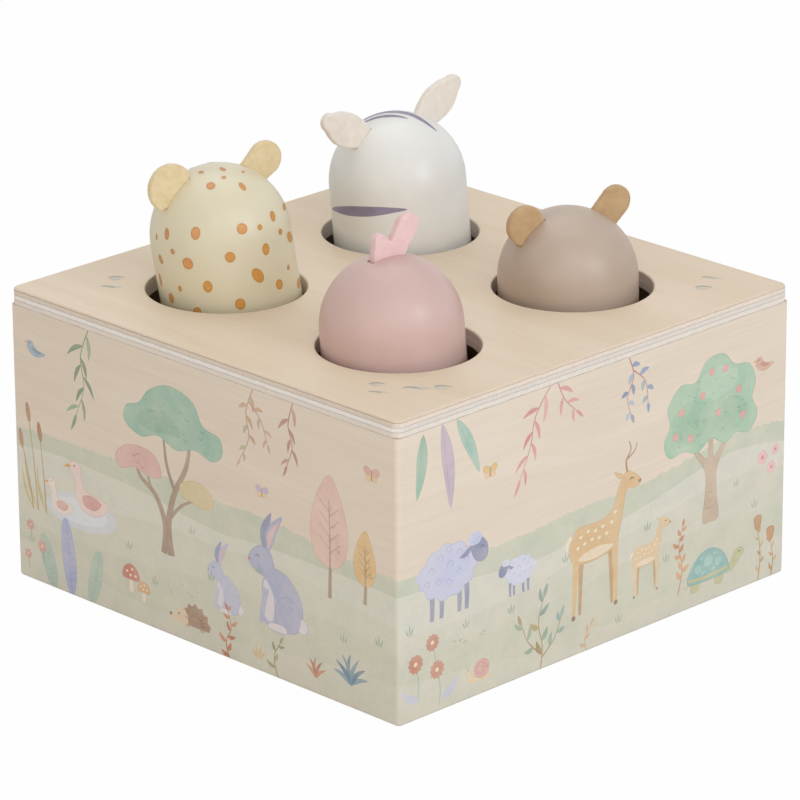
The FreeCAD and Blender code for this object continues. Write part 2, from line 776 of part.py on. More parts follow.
def check_and_write():
    doc.recompute()
    faults = [o.Name for o in doc.Objects if "Invalid" in o.State or "Error" in o.State]
    for piece in nodes:
        if piece.Shape.isNull() or not piece.Shape.isValid() or piece.Shape.Volume <= 0:
            faults.append(piece.Label)
    if faults:
        raise SystemExit(f"not written, because these failed: {faults}")
    os.makedirs("parts", exist_ok=True)
    for piece in nodes:
        piece.Shape.exportStep(f"parts/{piece.Label}.step")
        solids, volume = len(piece.Shape.Solids), piece.Shape.Volume
        print(f"{piece.Label}: {solids} solid(s), {volume:.1f} mm3")


top_panel()
walls()
base_panel()
corner_blocks()
base_fixings()
for animal_name in ("leopard", "zebra", "hippo"):
    ear_root = f"sizes.{animal_name}_{{}}_ear_root"
    peg(animal_name, [(1, ear_root.format("left"), "sizes.ear_felt"), (-1, ear_root.format("right"), "sizes.ear_felt")])
peg("flamingo", [(0, "sizes.crest_root", "sizes.crest_felt")])
leopard_ears()
zebra_ears()
hippo_ears()
flamingo_crest()
doc.recompute()
for animal_name in ANIMALS:
    spring(animal_name)
check_and_write()
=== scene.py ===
# %% [markdown]
# # A pop-up animal toy
# A square plywood box holds four turned pegs with animal heads. Each peg stands on a spring,
# so a child can push it down and it comes up again. The solid model of the toy is loaded
# first, and everything below only dresses it: finishes, printed walls, paint and felt.

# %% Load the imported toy
import math
import random

import bpy
import numpy as np
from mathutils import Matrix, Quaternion, Vector, noise
from mathutils.bvhtree import BVHTree
from mathutils.geometry import delaunay_2d_cdt


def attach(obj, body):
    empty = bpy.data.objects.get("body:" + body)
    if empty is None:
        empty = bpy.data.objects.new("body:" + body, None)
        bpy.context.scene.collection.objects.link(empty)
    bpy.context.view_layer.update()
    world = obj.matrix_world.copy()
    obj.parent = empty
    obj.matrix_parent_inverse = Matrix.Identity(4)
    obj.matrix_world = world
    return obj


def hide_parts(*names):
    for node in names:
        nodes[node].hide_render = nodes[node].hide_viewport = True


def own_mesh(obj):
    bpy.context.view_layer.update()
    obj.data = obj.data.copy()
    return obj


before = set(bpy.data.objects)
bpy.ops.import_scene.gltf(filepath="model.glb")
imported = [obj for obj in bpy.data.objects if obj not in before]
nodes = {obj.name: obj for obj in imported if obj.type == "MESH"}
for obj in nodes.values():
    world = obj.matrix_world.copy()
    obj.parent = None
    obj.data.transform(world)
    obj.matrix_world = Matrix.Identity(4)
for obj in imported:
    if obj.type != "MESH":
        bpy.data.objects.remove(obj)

MM = 0.001
scene = bpy.context.scene
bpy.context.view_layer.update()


# %% Small helpers for objects
def put(name, data):
    """A new object in the scene."""
    thing = bpy.data.objects.new(name, data)
    scene.collection.objects.link(thing)
    return thing


def new_mesh(name, places, faces, finishes):
    """A mesh from places in millimetres, its faces and its finishes."""
    mesh = bpy.data.meshes.new(name)
    mesh.from_pydata([place * MM for place in places], [], faces)
    for finish in finishes:
        mesh.materials.append(finish)
    return mesh


def direction(heading, elevation):
    """The direction that has a heading and an elevation, in degrees."""
    turn, rise = math.radians(heading), math.radians(elevation)
    level = math.cos(rise)
    return Vector((math.cos(turn) * level, math.sin(turn) * level, math.sin(rise)))


print("helpers for objects ready")

# %% [markdown]
# ## Camera
# The toy is seen from one corner and from a little above, through a long lens, so that its
# edges stay nearly parallel. A lens of 239 mm on a 36 mm sensor gives that calm perspective.
# The camera is aimed with a track quaternion and then rolled a third of a degree.

# %% The camera
EYE = Vector((-1.019499, -1.034970, 0.595256))
AIM = Vector((0.002190, 0.002229, 0.053394))
ROLL = math.radians(-0.349)
camera_data = bpy.data.cameras.new("studio_camera")
camera_data.lens = 238.54
camera_data.sensor_width = 36
camera = put("studio_camera", camera_data)
camera.location = EYE
camera.rotation_mode = "QUATERNION"
camera.rotation_quaternion = (AIM - EYE).to_track_quat("-Z", "Y") @ Quaternion((0, 0, 1), ROLL)
scene.camera = camera
scene.view_settings.view_transform = "Standard"
print("camera", round((AIM - EYE).length, 3), "m away")

# %% [markdown]
# ## Colours and nodes
# Colours are written as they look on a screen, in sRGB hex, and Blender wants linear light,
# so one function turns one into the other. A material is a small graph of nodes, and a
# second function adds a node with its settings and feeds its inputs in one line. Where a
# node is given as a feed, its first output is meant.


# %% Colour and node helpers
def linear(hex_colour):
    """An sRGB hex colour as linear red, green and blue, and opaque."""
    values = [int(hex_colour[i : i + 2], 16) / 255 for i in (1, 3, 5)]
    return [v / 12.92 if v <= 0.04045 else ((v + 0.055) / 1.055) ** 2.4 for v in values] + [1.0]


def feed(socket, value):
    """Links an input to a node or to one of its outputs, or sets it to a number or colour."""
    if isinstance(value, bpy.types.Node):
        value = next(output for output in value.outputs if output.enabled)
    if isinstance(value, bpy.types.NodeSocket):
        socket.id_data.links.new(value, socket)
    else:
        socket.default_value = value


def add(tree, kind, feeds=(), **settings):
    """Adds a node with its settings. Its feeds go by the inputs' names, or in their order."""
    node = tree.nodes.new("ShaderNode" + kind)
    for setting, value in settings.items():
        setattr(node, setting, value)
    if isinstance(feeds, dict):
        sockets, feeds = [node.inputs[name] for name in feeds], feeds.values()
    else:
        sockets = [socket for socket in node.inputs if socket.enabled]
    for socket, value in zip(sockets, feeds):
        feed(socket, value)
    return node


def stops(ramp, *colours, sharp=False):
    """Gives a colour ramp its stops, pairs of a position and a hex colour."""
    elements = ramp.color_ramp.elements
    while len(elements) < len(colours):
        elements.new(1.0)
    for element, (place, hex_colour) in zip(elements, colours):
        element.position = place
        element.color = linear(hex_colour)
    ramp.color_ramp.interpolation = "CONSTANT" if sharp else "LINEAR"
    return ramp


def new_material(name):
    """A new material, its tree, its Principled shader and each point's place on the toy."""
    material = bpy.data.materials.new(name)
    material.use_nodes = True
    tree = material.node_tree
    tree.nodes.clear()
    shader = add(tree, "BsdfPrincipled")
    add(tree, "OutputMaterial", {"Surface": shader})
    return material, tree, shader, add(tree, "TexCoord").outputs["Object"]


def settle(shader, **values):
    """Feeds the shader's own inputs, with an underscore for each space in a name."""
    for name, value in values.items():
        feed(shader.inputs[name.replace("_", " ")], value)


print("colour and node helpers ready")

# %% [markdown]
# ## Studio
# A white room with one softbox at the right, a weaker one at the left, a broad one near the
# camera and one overhead. The room's own light is plain and even, so that a colour renders
# about as it is written. The floor and the room look white to the camera, and the floor
# keeps a faint shadow of the toy.

# %% The room
AMBIENT = 0.45
world = bpy.data.worlds.new("white_room")
scene.world = world
world.use_nodes = True
room = world.node_tree
room.nodes.clear()
ray = add(room, "LightPath").outputs
seen = add(room, "Math", [ray["Is Camera Ray"], ray["Is Glossy Ray"]], operation="MAXIMUM")
seen = add(room, "Math", [seen, ray["Is Transmission Ray"]], operation="MAXIMUM")
light = add(room, "Background", {"Color": linear("#FFFEFC"), "Strength": AMBIENT})
white = add(room, "Background", {"Color": linear("#FFFFFF"), "Strength": 1.0})
add(room, "OutputWorld", {"Surface": add(room, "MixShader", [seen, light, white])})
print("room light", AMBIENT)

# %% The softboxes
TOY_MIDDLE = Vector((0, 0, 0.06))
SOFTBOXES = {  # heading and elevation in degrees, distance and size in metres, watts, tint
    "right_softbox": (275, 27, 1.0, 0.36, 2.38, "#EEF4FF"),
    "left_softbox": (192, 15, 1.0, 0.36, 0.8, "#FFF1E2"),
    "front_softbox": (232, 35, 2.0, 1.5, 8.3, "#FFFEFD"),
    "overhead_softbox": (60, 70, 1.2, 0.9, 3.8, "#FAFCFF"),
}
for name, (heading, elevation, distance, size, power, tint) in SOFTBOXES.items():
    data = bpy.data.lights.new(name, "AREA")
    data.shape, data.size, data.energy, data.color = "SQUARE", size, power, linear(tint)[:3]
    lamp = put(name, data)
    lamp.location = TOY_MIDDLE + direction(heading, elevation) * distance
    lamp.rotation_mode = "QUATERNION"
    lamp.rotation_quaternion = direction(heading, elevation).to_track_quat("Z", "Y")
    print(name, [round(v, 2) for v in lamp.location])

# %% The floor
# Painted studio floor: nearly white and matt. The camera sees it mostly by its own white,
# so the lamps don't have to be turned up to make it white, and a soft shadow remains.
FLOOR_REACH = 1.6
FLOOR_LEVEL = -0.0001
FLOOR_GLOW = 0.97
floor_paint = bpy.data.materials.new("white_studio_paint")
floor_paint.use_nodes = True
tree = floor_paint.node_tree
tree.nodes.clear()
ray = add(tree, "LightPath").outputs
share = add(tree, "Math", [ray["Is Camera Ray"], FLOOR_GLOW], operation="MULTIPLY")
plain = add(tree, "BsdfDiffuse", {"Color": linear("#F4F3F1")})
glow = add(tree, "Emission", {"Color": linear("#FFFFFF"), "Strength": 1.0})
add(tree, "OutputMaterial", {"Surface": add(tree, "MixShader", [share, plain, glow])})
floor_mesh = bpy.data.meshes.new("floor")
floor_edge = [(x * FLOOR_REACH, y * FLOOR_REACH) for x, y in ((-1, -1), (1, -1), (1, 1), (-1, 1))]
floor_mesh.from_pydata([(x, y, FLOOR_LEVEL) for x, y in floor_edge], [], [(0, 1, 2, 3)])
floor_mesh.materials.append(floor_paint)
floor = put("floor", floor_mesh)
print("floor", 2 * FLOOR_REACH, "m square")

# %% [markdown]
# ## Birch plywood
# The box is birch plywood: pale, close-grained veneers, sanded and finished with clear satin
# lacquer. Face veneer shows long soft bands and fine fibres, and a cut edge shows its plies
# as light and brown lines with a dark glue line between each. A picture of wood would need
# unwrapping. Noise stretched along the grain needs none and stays sharp, so that is used.
# The same graph makes the lid, the printed walls and the base, each with its own direction.

# %% Birch veneer
FIBRE_LENGTH = 0.03
BAND_LENGTH = 0.12


def veneer(tree, place, along, pale, deep, fibre=0.0007, band=0.02):
    """Birch face veneer, with the grain along the given axes: its colour and its fibres."""
    broad = [1 / (BAND_LENGTH if axis in along else band) for axis in "xyz"]
    fine = [1 / (FIBRE_LENGTH if axis in along else fibre) for axis in "xyz"]
    wide = add(tree, "Mapping", {"Vector": place, "Scale": broad})
    cloudy = {"Vector": wide, "Scale": 1.0, "Detail": 4.0, "Roughness": 0.6, "Distortion": 0.9}
    bands = add(tree, "TexNoise", cloudy)
    thin = add(tree, "Mapping", {"Vector": place, "Scale": fine})
    fibres = add(tree, "TexNoise", {"Vector": thin, "Scale": 1.0, "Detail": 2.0})
    tone = stops(add(tree, "ValToRGB", [bands]), (0.3, deep), (0.7, pale))
    mark = add(tree, "MapRange", [fibres, 0.3, 0.75, 1.01, 0.965])
    wood = add(tree, "Mix", [1.0, tone, mark], data_type="RGBA", blend_type="MULTIPLY")
    return wood, fibres


def pored(tree, place, plies, light, dark):
    """Plies with the pores of a cut edge, and the pores: 0.1 mm, drawn as 0.35 mm flecks."""
    flecks = add(tree, "TexNoise", {"Vector": place, "Scale": 1 / 0.0012, "Detail": 2.0})
    shade = add(tree, "MapRange", [flecks, 0.35, 0.7, light, dark])
    colour = add(tree, "Mix", [1.0, plies, shade], data_type="RGBA", blend_type="MULTIPLY")
    return colour, flecks


print("veneer ready")

# %% Lid: sanded plywood with its plies on the edge
# Birch plywood 5 mm thick, clear satin lacquer: a soft sheen, roughness about 0.5.
LID_LOW, LID_TOP = 0.085, 0.090
lid_birch, tree, shader, place = new_material("sanded_birch_plywood")
face, fibres = veneer(tree, place, "y", "#E8D7C0", "#DFCBB0", fibre=0.0009)
axes = add(tree, "SeparateXYZ", [place]).outputs
level = add(tree, "MapRange", [axes["Z"], LID_LOW, LID_TOP])
# the glue lines wander by a tenth of a millimetre
waver = add(tree, "TexNoise", {"Vector": place, "Scale": 1 / 0.004, "Detail": 3.0})
waver = add(tree, "MapRange", [waver, 0.3, 0.7, -0.018, 0.018])
level = add(tree, "Math", [level, waver], operation="ADD")
# from below: each ply's pale wood, and the glue line over it
side_grain = stops(
    add(tree, "ValToRGB", [level]),
    (0.0, "#BDB0A3"), (0.04, "#E9E0D4"), (0.31, "#BFB2A6"), (0.35, "#E3DAD0"),
    (0.59, "#BFB2A6"), (0.63, "#EBDCCD"), (0.87, "#BDA18C"), (0.905, "#E2D0B9"),
    sharp=True,
)
end_grain = stops(
    add(tree, "ValToRGB", [level]),
    (0.0, "#C3B2A2"), (0.04, "#E6DBCF"), (0.31, "#BFB1A5"), (0.35, "#F2EBE4"),
    (0.59, "#BDAFA2"), (0.63, "#E1D2C2"), (0.87, "#AC8F79"), (0.905, "#DECBB2"),
    sharp=True,
)
facing = add(tree, "SeparateXYZ", [add(tree, "NewGeometry").outputs["Normal"]]).outputs["X"]
across = add(tree, "Math", [facing, facing], operation="MULTIPLY")
plies = add(tree, "Mix", [across, side_grain, end_grain], data_type="RGBA")
plies, _ = pored(tree, place, plies, 1.02, 0.95)
print("lid plies ready")

# %% Lid: hole walls and face
# Inside the holes the plies are mixed towards a darker, plainer brown with fainter lines: painted
# shade of the holes.
reach = [add(tree, "Math", [axes[axis]], operation="ABSOLUTE") for axis in "XY"]
reach = add(tree, "Math", reach, operation="MAXIMUM")
# painted shade: the holes' walls are mixed towards a darker brown
hole_shade = add(tree, "MapRange", [reach, 0.0775, 0.0785, 0.6, 0.0])
plies = add(tree, "Mix", [hole_shade, plies, linear("#D2C5B5")], data_type="RGBA")
cut = add(tree, "Math", [axes["Z"], LID_TOP - 0.00002], operation="LESS_THAN")
colour = add(tree, "Mix", [cut, face, plies], data_type="RGBA")
nap = add(tree, "Bump", {"Height": fibres, "Distance": 0.00004, "Strength": 0.5})
settle(shader, Base_Color=colour, Roughness=0.5, IOR=1.5, Normal=nap)
print("lid finish ready")

# %% Base, inside faces and wall edges
# The same plywood, unlacquered inside and a little rougher.
WALL_THICKNESS = 7.0
plain_birch, tree, shader, place = new_material("plain_birch_plywood")
face, fibres = veneer(tree, place, "x", "#E0CBAC", "#D2B891")
nap = add(tree, "Bump", {"Height": fibres, "Distance": 0.00005, "Strength": 0.5})
settle(shader, Base_Color=face, Roughness=0.62, IOR=1.5, Normal=nap)

# The cut edges of the walls, seen from below: five plies in 7 mm, by depth from the face.
wall_edge, tree, shader, place = new_material("birch_plywood_edge")
depth = add(tree, "Attribute", attribute_name="depth").outputs["Fac"]
plies = stops(
    add(tree, "ValToRGB", [add(tree, "MapRange", [depth, 0.0, WALL_THICKNESS])]),
    (0.0, "#DCC5A9"), (0.06, "#A08470"), (0.08, "#E2D3C0"), (0.34, "#B7A999"), (0.37, "#D6C0A6"),
    (0.62, "#B7A999"), (0.65, "#E2D3C0"), (0.92, "#A88C78"), (0.94, "#DCC5A9"),
    sharp=True,
)
colour, flecks = pored(tree, place, plies, 1.04, 0.88)
nap = add(tree, "Bump", {"Height": flecks, "Distance": 0.00005, "Strength": 0.5})
settle(shader, Base_Color=colour, Roughness=0.65, IOR=1.5, Normal=nap)
print("plain plywood finishes ready")

# %% [markdown]
# ## Printed walls
# The meadow on the walls is printed straight on the veneer under the lacquer: thin inks that
# let the grain through, in soft pastels. Each ink is stored on the wall's mesh as a colour
# with its cover, and this finish lays it over the veneer with the uneven wash of watercolour.

# %% Printed birch
printed_birch, tree, shader, place = new_material("printed_birch_veneer")
face, fibres = veneer(tree, place, "xy", "#EADBC9", "#E2D1BD", fibre=0.0009, band=0.014)
ink = add(tree, "Attribute", attribute_name="ink").outputs
# pools of wash are 3 to 9 mm across, and the grit of the print is 0.5 mm
cloudy = {"Vector": place, "Scale": 1 / 0.009, "Detail": 5.0, "Roughness": 0.62}
pools = add(tree, "TexNoise", cloudy)
grit = add(tree, "TexNoise", {"Vector": place, "Scale": 1 / 0.0011, "Detail": 2.0})
wash = add(tree, "MapRange", [pools, 0.32, 0.68, 0.7, 1.0])
cover = add(tree, "Math", [ink["Alpha"], wash], operation="MULTIPLY")
gritty = add(tree, "MapRange", [grit, 0.3, 0.7, 1.03, 0.97])
pooled = add(tree, "MapRange", [pools, 0.3, 0.7, 1.06, 0.97])
tint = add(tree, "Math", [gritty, pooled], operation="MULTIPLY")
pigment = add(tree, "Mix", [1.0, ink["Color"], tint], data_type="RGBA", blend_type="MULTIPLY")
colour = add(tree, "Mix", [cover, face, pigment], data_type="RGBA")
nap = add(tree, "Bump", {"Height": fibres, "Distance": 0.00003, "Strength": 0.5})
settle(shader, Base_Color=colour, Roughness=0.5, IOR=1.5, Normal=nap)
print("printed birch ready")

# %% [markdown]
# ## Drawing the meadow
# The motifs are flat shapes in millimetres: x runs to the right along a wall as seen from
# outside, z runs up. An outline is closed and passes smoothly through a few points. A motif
# is a list of outlines, each with an ink and its cover. Hares, deer, sheep, a tortoise and
# ducks live between round trees, reeds and hanging leaves.


# %% Smooth outlines
def smooth(points, closed=True, steps=4):
    """A smooth Catmull-Rom curve through the points."""
    count = len(points)
    curve = []
    for i in range(count if closed else count - 1):
        near = [i + k for k in (-1, 0, 1, 2)]
        near = [k % count if closed else min(max(k, 0), count - 1) for k in near]
        a, b, c, d = (Vector(points[k]) for k in near)
        for step in range(steps):
            t = step / steps
            place = 2 * b + (c - a) * t + (2 * a - 5 * b + 4 * c - d) * t**2
            curve.append(0.5 * (place + (3 * b - a - 3 * c + d) * t**3))
    return curve if closed else curve + [Vector(points[-1])]


def ribbon(curve, width):
    """The outline of a band along a curve. Its width is a function of the step and the last."""
    last = len(curve) - 1
    left, right = [], []
    for i, here in enumerate(curve):
        ahead = (curve[min(i + 1, last)] - curve[max(i - 1, 0)]).normalized()
        side = Vector((-ahead.y, ahead.x)) * width(i, last) / 2
        left.append(here + side)
        right.append(here - side)
    return left + right[::-1]


def stroke(points, wide, tip, steps=4):
    """A brush stroke along a smooth line, from its width at the start to the one at its tip."""
    return ribbon(smooth(points, False, steps), lambda i, last: wide + (tip - wide) * i / last)


def oval(x, z, wide, high, tilt=0, count=18):
    """An ellipse by its half width and half height."""
    turn = math.radians(tilt)
    c, s = math.cos(turn), math.sin(turn)
    angles = [i * math.tau / count for i in range(count)]
    ring = [(math.cos(a) * wide, math.sin(a) * high) for a in angles]
    return [Vector((x + p * c - q * s, z + p * s + q * c)) for p, q in ring]


LEAF_SHAPE = ((0, 0), (0.3, 0.4), (0.65, 0.36), (1, 0), (0.62, -0.36), (0.28, -0.4))


def leaf(x, z, length, width, angle, bend=0.08):
    """A pointed leaf from its stalk: angle 0 points right and 90 up."""
    turn = math.radians(angle)
    along = Vector((math.cos(turn), math.sin(turn)))
    side = Vector((-along.y, along.x))
    ring = []
    for a, b in LEAF_SHAPE:
        bulge = width * b + length * bend * 4 * a * (1 - a)
        ring.append(Vector((x, z)) + along * length * a + side * bulge)
    return smooth(ring, True, 3)


def lumpy(x, z, wide, high, lobes, depth, seed):
    """A round form with a lumpy edge, for fleece and leaves."""
    start = random.Random(seed).uniform(0, math.tau)
    ring = []
    for i in range(lobes * 6):
        a = i * math.tau / (lobes * 6)
        swell = 1 - depth * (1 - abs(math.sin(lobes * a / 2 + start)))
        ring.append(Vector((x + math.cos(a) * wide * swell, z + math.sin(a) * high * swell)))
    return ring


print("outlines ready")


# %% Rims, and moving a motif
def inset(outline, depth):
    """The outline drawn in by a depth."""
    after = outline[1:] + outline[:1]
    before = outline[-1:] + outline[:-1]
    turn = 1 if sum(a.x * b.y - b.x * a.y for a, b in zip(outline, after)) > 0 else -1
    ring = []
    for here, a, b in zip(outline, before, after):
        ahead = (b - a).normalized()
        ring.append(here + Vector((-ahead.y, ahead.x)) * depth * turn)
    return ring


def between(first, second, share):
    """A hex colour part of the way from one to another."""
    pairs = [(int(first[i : i + 2], 16), int(second[i : i + 2], 16)) for i in (1, 3, 5)]
    return "#" + "".join(f"{round(a + (b - a) * share):02X}" for a, b in pairs)


def washed(outline, fill, edge, cover=0.88, rim=0.22):
    """A shape with the darker rim that watercolour leaves where it dries."""
    return [(outline, between(fill, edge, 0.6), cover), (inset(outline, rim), fill, cover)]


def placed(motif, x, z, scale=1.0, mirror=False, tilt=0):
    """The motif moved to a place on the wall, scaled, tilted and mirrored."""
    turn = math.radians(tilt)
    c, s = math.cos(turn), math.sin(turn)
    flip = -scale if mirror else scale
    moved = []
    for outline, ink, cover in motif:
        points = [(p[0] * flip, p[1] * scale) for p in outline]
        ring = [Vector((x + a * c - b * s, z + a * s + b * c)) for a, b in points]
        moved.append((ring, ink, cover))
    return moved


print("rims and places ready")


# %% One-shape motifs
def line(points, wide, tip, ink, cover, steps=4):
    """A brush stroke in one ink."""
    return [(stroke(points, wide, tip, steps), ink, cover)]


def patch(points, ink, cover):
    """A smooth form in one ink, without a rim."""
    return [(smooth(points), ink, cover)]


def blade(x, z, length, width, angle, ink, cover, bend=0.08):
    """A pointed leaf in one ink."""
    return [(leaf(x, z, length, width, angle, bend), ink, cover)]


def dot(x, z, wide, high, ink, cover, tilt=0, count=8):
    """An ellipse in one ink."""
    return [(oval(x, z, wide, high, tilt, count), ink, cover)]


def form(points, fill, edge, cover=0.88, rim=0.22):
    """A smooth form with a rim."""
    return washed(smooth(points), fill, edge, cover, rim)


print("one-shape motifs ready")

# %% [markdown]
# ### Plants
# A sprig is a stroke with leaves set along it in turn, left and right, and their length fades
# towards the tip. One function makes every sprig, from a hanging willow to an ear of wheat,
# by its leaf's size, spacing and spread.


# %% Sprigs
def sprig(path, stem, inks, length, width, gap, spread, skip, fade, seed):
    """A stem with leaves on both sides in turn and one at its tip."""
    rng = random.Random(seed)
    curve = smooth(path, False, 8)
    cover = 0.9
    shapes = line(path, 0.5, 0.25, stem, cover)
    total = sum((b - a).length for a, b in zip(curve, curve[1:]))
    walked, next_leaf, side = 0.0, total * skip, 1
    for a, b in zip(curve, curve[1:]):
        walked += (b - a).length
        if walked < next_leaf:
            continue
        next_leaf += gap
        size = 1 - fade * walked / total
        heading = math.degrees(math.atan2(b.y - a.y, b.x - a.x))
        turn = heading + side * spread + rng.uniform(-9, 9)
        long = length * size * rng.uniform(0.85, 1.1)
        shapes += blade(b.x, b.y, long, width * size, turn, rng.choice(inks), cover, side * 0.08)
        side = -side
    end, before = curve[-1], curve[-3]
    heading = math.degrees(math.atan2(end.y - before.y, end.x - before.x))
    left = 1 - fade
    tip = (end.x, end.y, length * left, width * left, heading)
    return shapes + blade(*tip, rng.choice(inks), cover, 0.03)


print("sprigs ready")


# %% Flowers, tufts and feathers
def blossom(x, z, radius, petals, ink, heart):
    """A round flower with separate petals."""
    shapes = []
    for i in range(petals):
        a = i * math.tau / petals + 0.3
        u, v = x + math.cos(a) * radius * 0.6, z + math.sin(a) * radius * 0.6
        size = (radius * 0.42, radius * 0.27)
        shapes += dot(u, v, *size, ink, 0.92, tilt=math.degrees(a), count=10)
    return shapes + dot(x, z, radius * 0.24, radius * 0.24, heart, 0.95, count=10)


def tuft(height, ink, blades=3):
    """A few blades of grass."""
    shapes = []
    for i in range(blades):
        lean = (i - (blades - 1) / 2) * 22
        high = height * (1 - abs(lean) / 90)
        shapes += blade(i * 0.5, 0, high, height * 0.16, 90 - lean, ink, 0.85, 0.05)
    return shapes


def ticks(x, z, wide, high, count, ink, size, seed, cover=0.75):
    """Small curved marks of the brush, scattered over a shape."""
    rng = random.Random(seed)
    shapes = []
    for _ in range(count):
        a, r = rng.uniform(0, math.tau), math.sqrt(rng.uniform(0.02, 0.95))
        u, v = x + math.cos(a) * wide * r, z + math.sin(a) * high * r
        tick = [(u, v), (u + size * 0.45, v - size * 0.4), (u + size, v + size * 0.05)]
        shapes += line(tick, 0.3, 0.2, ink, cover, 3)
    return shapes


def feather(height, width, ink, vein):
    """A tall narrow leaf with ladder veins."""
    h, w, bars = height, width, 9
    shapes = form(
        [(0, 0), (w * 0.42, h * 0.25), (w * 0.5, h * 0.62), (w * 0.24, h * 0.94),
         (0, h), (-w * 0.3, h * 0.92), (-w * 0.5, h * 0.6), (-w * 0.36, h * 0.22)],
        ink, vein, 0.9,
    )
    shapes += line([(0, 0), (0.3, h * 0.5), (0, h * 0.96)], 0.35, 0.2, vein, 0.7)
    for i in range(bars):
        v = h * (0.14 + 0.76 * i / bars)
        reach = w * 0.4 * math.sin(math.pi * (0.25 + 0.62 * i / bars))
        shapes += line([(-reach, v + 0.7), (0, v), (reach, v + 0.9)], 0.24, 0.2, vein, 0.55, 3)
    return shapes


def fern(inks, count, length, spread=130, width=1.7):
    """Leaves that fan out of one point."""
    shapes = []
    for i in range(count):
        long = length * (0.75 + 0.25 * math.sin(math.pi * (i + 0.5) / count))
        angle = 90 - spread / 2 + spread * i / (count - 1)
        bend = 0.1 if i < count / 2 else -0.1
        shapes += blade(0, 0, long, width, angle, inks[i % len(inks)], 0.9, bend)
    return shapes


print("plant helpers ready")


# %% Round tree
def round_tree():
    """A wide crown of three lobes on a forked trunk, with fruit."""
    bark, shade = "#C9B49C", "#A99078"
    shapes = form(
        [(-3.4, 0), (-2.4, 8), (-2.6, 16), (-8.5, 24), (-7.2, 25), (-1.6, 19.5), (-1.0, 27),
         (0.8, 27), (1.5, 19.5), (6.8, 26), (8.3, 25.2), (3.0, 16), (2.8, 8), (3.8, 0), (0, -0.8)],
        bark, shade, 0.93,
    )
    for v, reach in ((4, 1.6), (6.4, 1.2), (9, 1.5), (11.6, 1.1), (13.4, 1.3)):
        shapes += line([(-reach, v), (0, v - 0.35), (reach, v + 0.25)], 0.28, 0.2, shade, 0.7, 3)
    crown = smooth(
        [(-18, 24), (-20.5, 29), (-18, 34), (-19, 40), (-13.5, 45.5), (-7, 45), (-2.5, 50.5),
         (5, 51), (10, 46.5), (16.5, 45), (19.5, 39), (18, 34), (20.5, 28.5), (17, 23.5),
         (11, 24.5), (6, 22.5), (0, 25.5), (-6, 22.5), (-12, 24.5)],
    )
    shapes += washed(crown, "#A9C8AE", "#86AD93", 0.95, 0.28)
    shapes.append((lumpy(-9, 33, 8.5, 7, 6, 0.1, 2), "#98BCA0", 0.55))
    shapes.append((lumpy(8.5, 31, 8, 5.5, 6, 0.1, 4), "#98BCA0", 0.5))
    shapes.append((lumpy(3, 42.5, 9, 5, 6, 0.1, 5), "#BCD5BC", 0.5))
    shapes += ticks(-9, 31, 8, 6, 13, "#6F9B80", 1.3, 7)
    shapes += ticks(8, 31, 8.5, 6, 13, "#6F9B80", 1.3, 8)
    shapes += ticks(1, 42, 12, 5.5, 14, "#7DA68A", 1.2, 9)
    for u, v in ((-13, 37), (-4, 40), (6, 46), (12, 38), (3, 33), (-9, 28), (14, 29.5),
                 (-15.5, 30), (0, 46.5)):
        shapes += washed(oval(u, v, 1.25, 1.25, 0, 12), "#E3A9A2", "#CF8C86", 0.95, 0.2)
    return shapes


print("round tree ready")


# %% Layered and flame trees
def layered_tree():
    """A leaning trunk with three flat leaf clouds: green above, rose and straw below."""
    bark = "#A58C76"
    shapes = line([(-1.5, 0), (-0.6, 8), (-3, 17), (-7.5, 25), (-9, 31)], 2.6, 1.1, bark, 0.92)
    shapes += line([(1.2, 0), (0.6, 8), (4, 15), (9.5, 18.5), (11, 22)], 2.2, 0.9, bark, 0.92)
    shapes += line([(-3.4, 17.5), (-0.5, 24), (0.5, 31)], 1.3, 0.8, bark, 0.92)
    shapes += line([(5, 15.5), (6.5, 19), (6, 22.5)], 1.0, 0.6, bark, 0.92)
    shapes += line([(-1.6, 10.5), (-5.6, 14.6), (-11, 17.6)], 1.2, 0.6, bark, 0.92)
    shapes += form(
        [(-17.5, 17.4), (-16, 21.2), (-10.6, 22.6), (-5.4, 20.6), (-5.6, 17.4), (-9.6, 16.6),
         (-13.4, 15.8)],
        "#D9C79B", "#BDA978", 0.92,
    )
    low = smooth(
        [(1.5, 20.5), (4, 25.5), (10, 26.6), (15.5, 25.4), (19, 21.8), (17, 18.8), (11.5, 20.4),
         (6, 19.2)],
    )
    shapes += washed(low, "#DDB3AA", "#C59288", 0.92)
    high = smooth(
        [(-21, 32), (-20, 36.5), (-14, 38), (-10.5, 43.5), (-2, 45.6), (5.5, 42.8), (9.5, 38.4),
         (14.5, 36.4), (15, 32), (9, 29.4), (2.5, 31.2), (-4, 29), (-11, 30.8), (-17, 29.4)],
    )
    shapes += washed(high, "#9EC0AC", "#7BA18E", 0.94)
    shapes += patch(
        [(-6, 33), (-2, 37.6), (6, 37.4), (11, 34), (5, 31.8), (-1, 32.6)], "#88AF98", 0.6,
    )
    shapes += ticks(-5, 36, 12, 4.5, 12, "#5F8A76", 1.5, 12, 0.65)
    shapes += ticks(10, 23, 5, 2, 5, "#AE776E", 1.4, 13, 0.65)
    return shapes


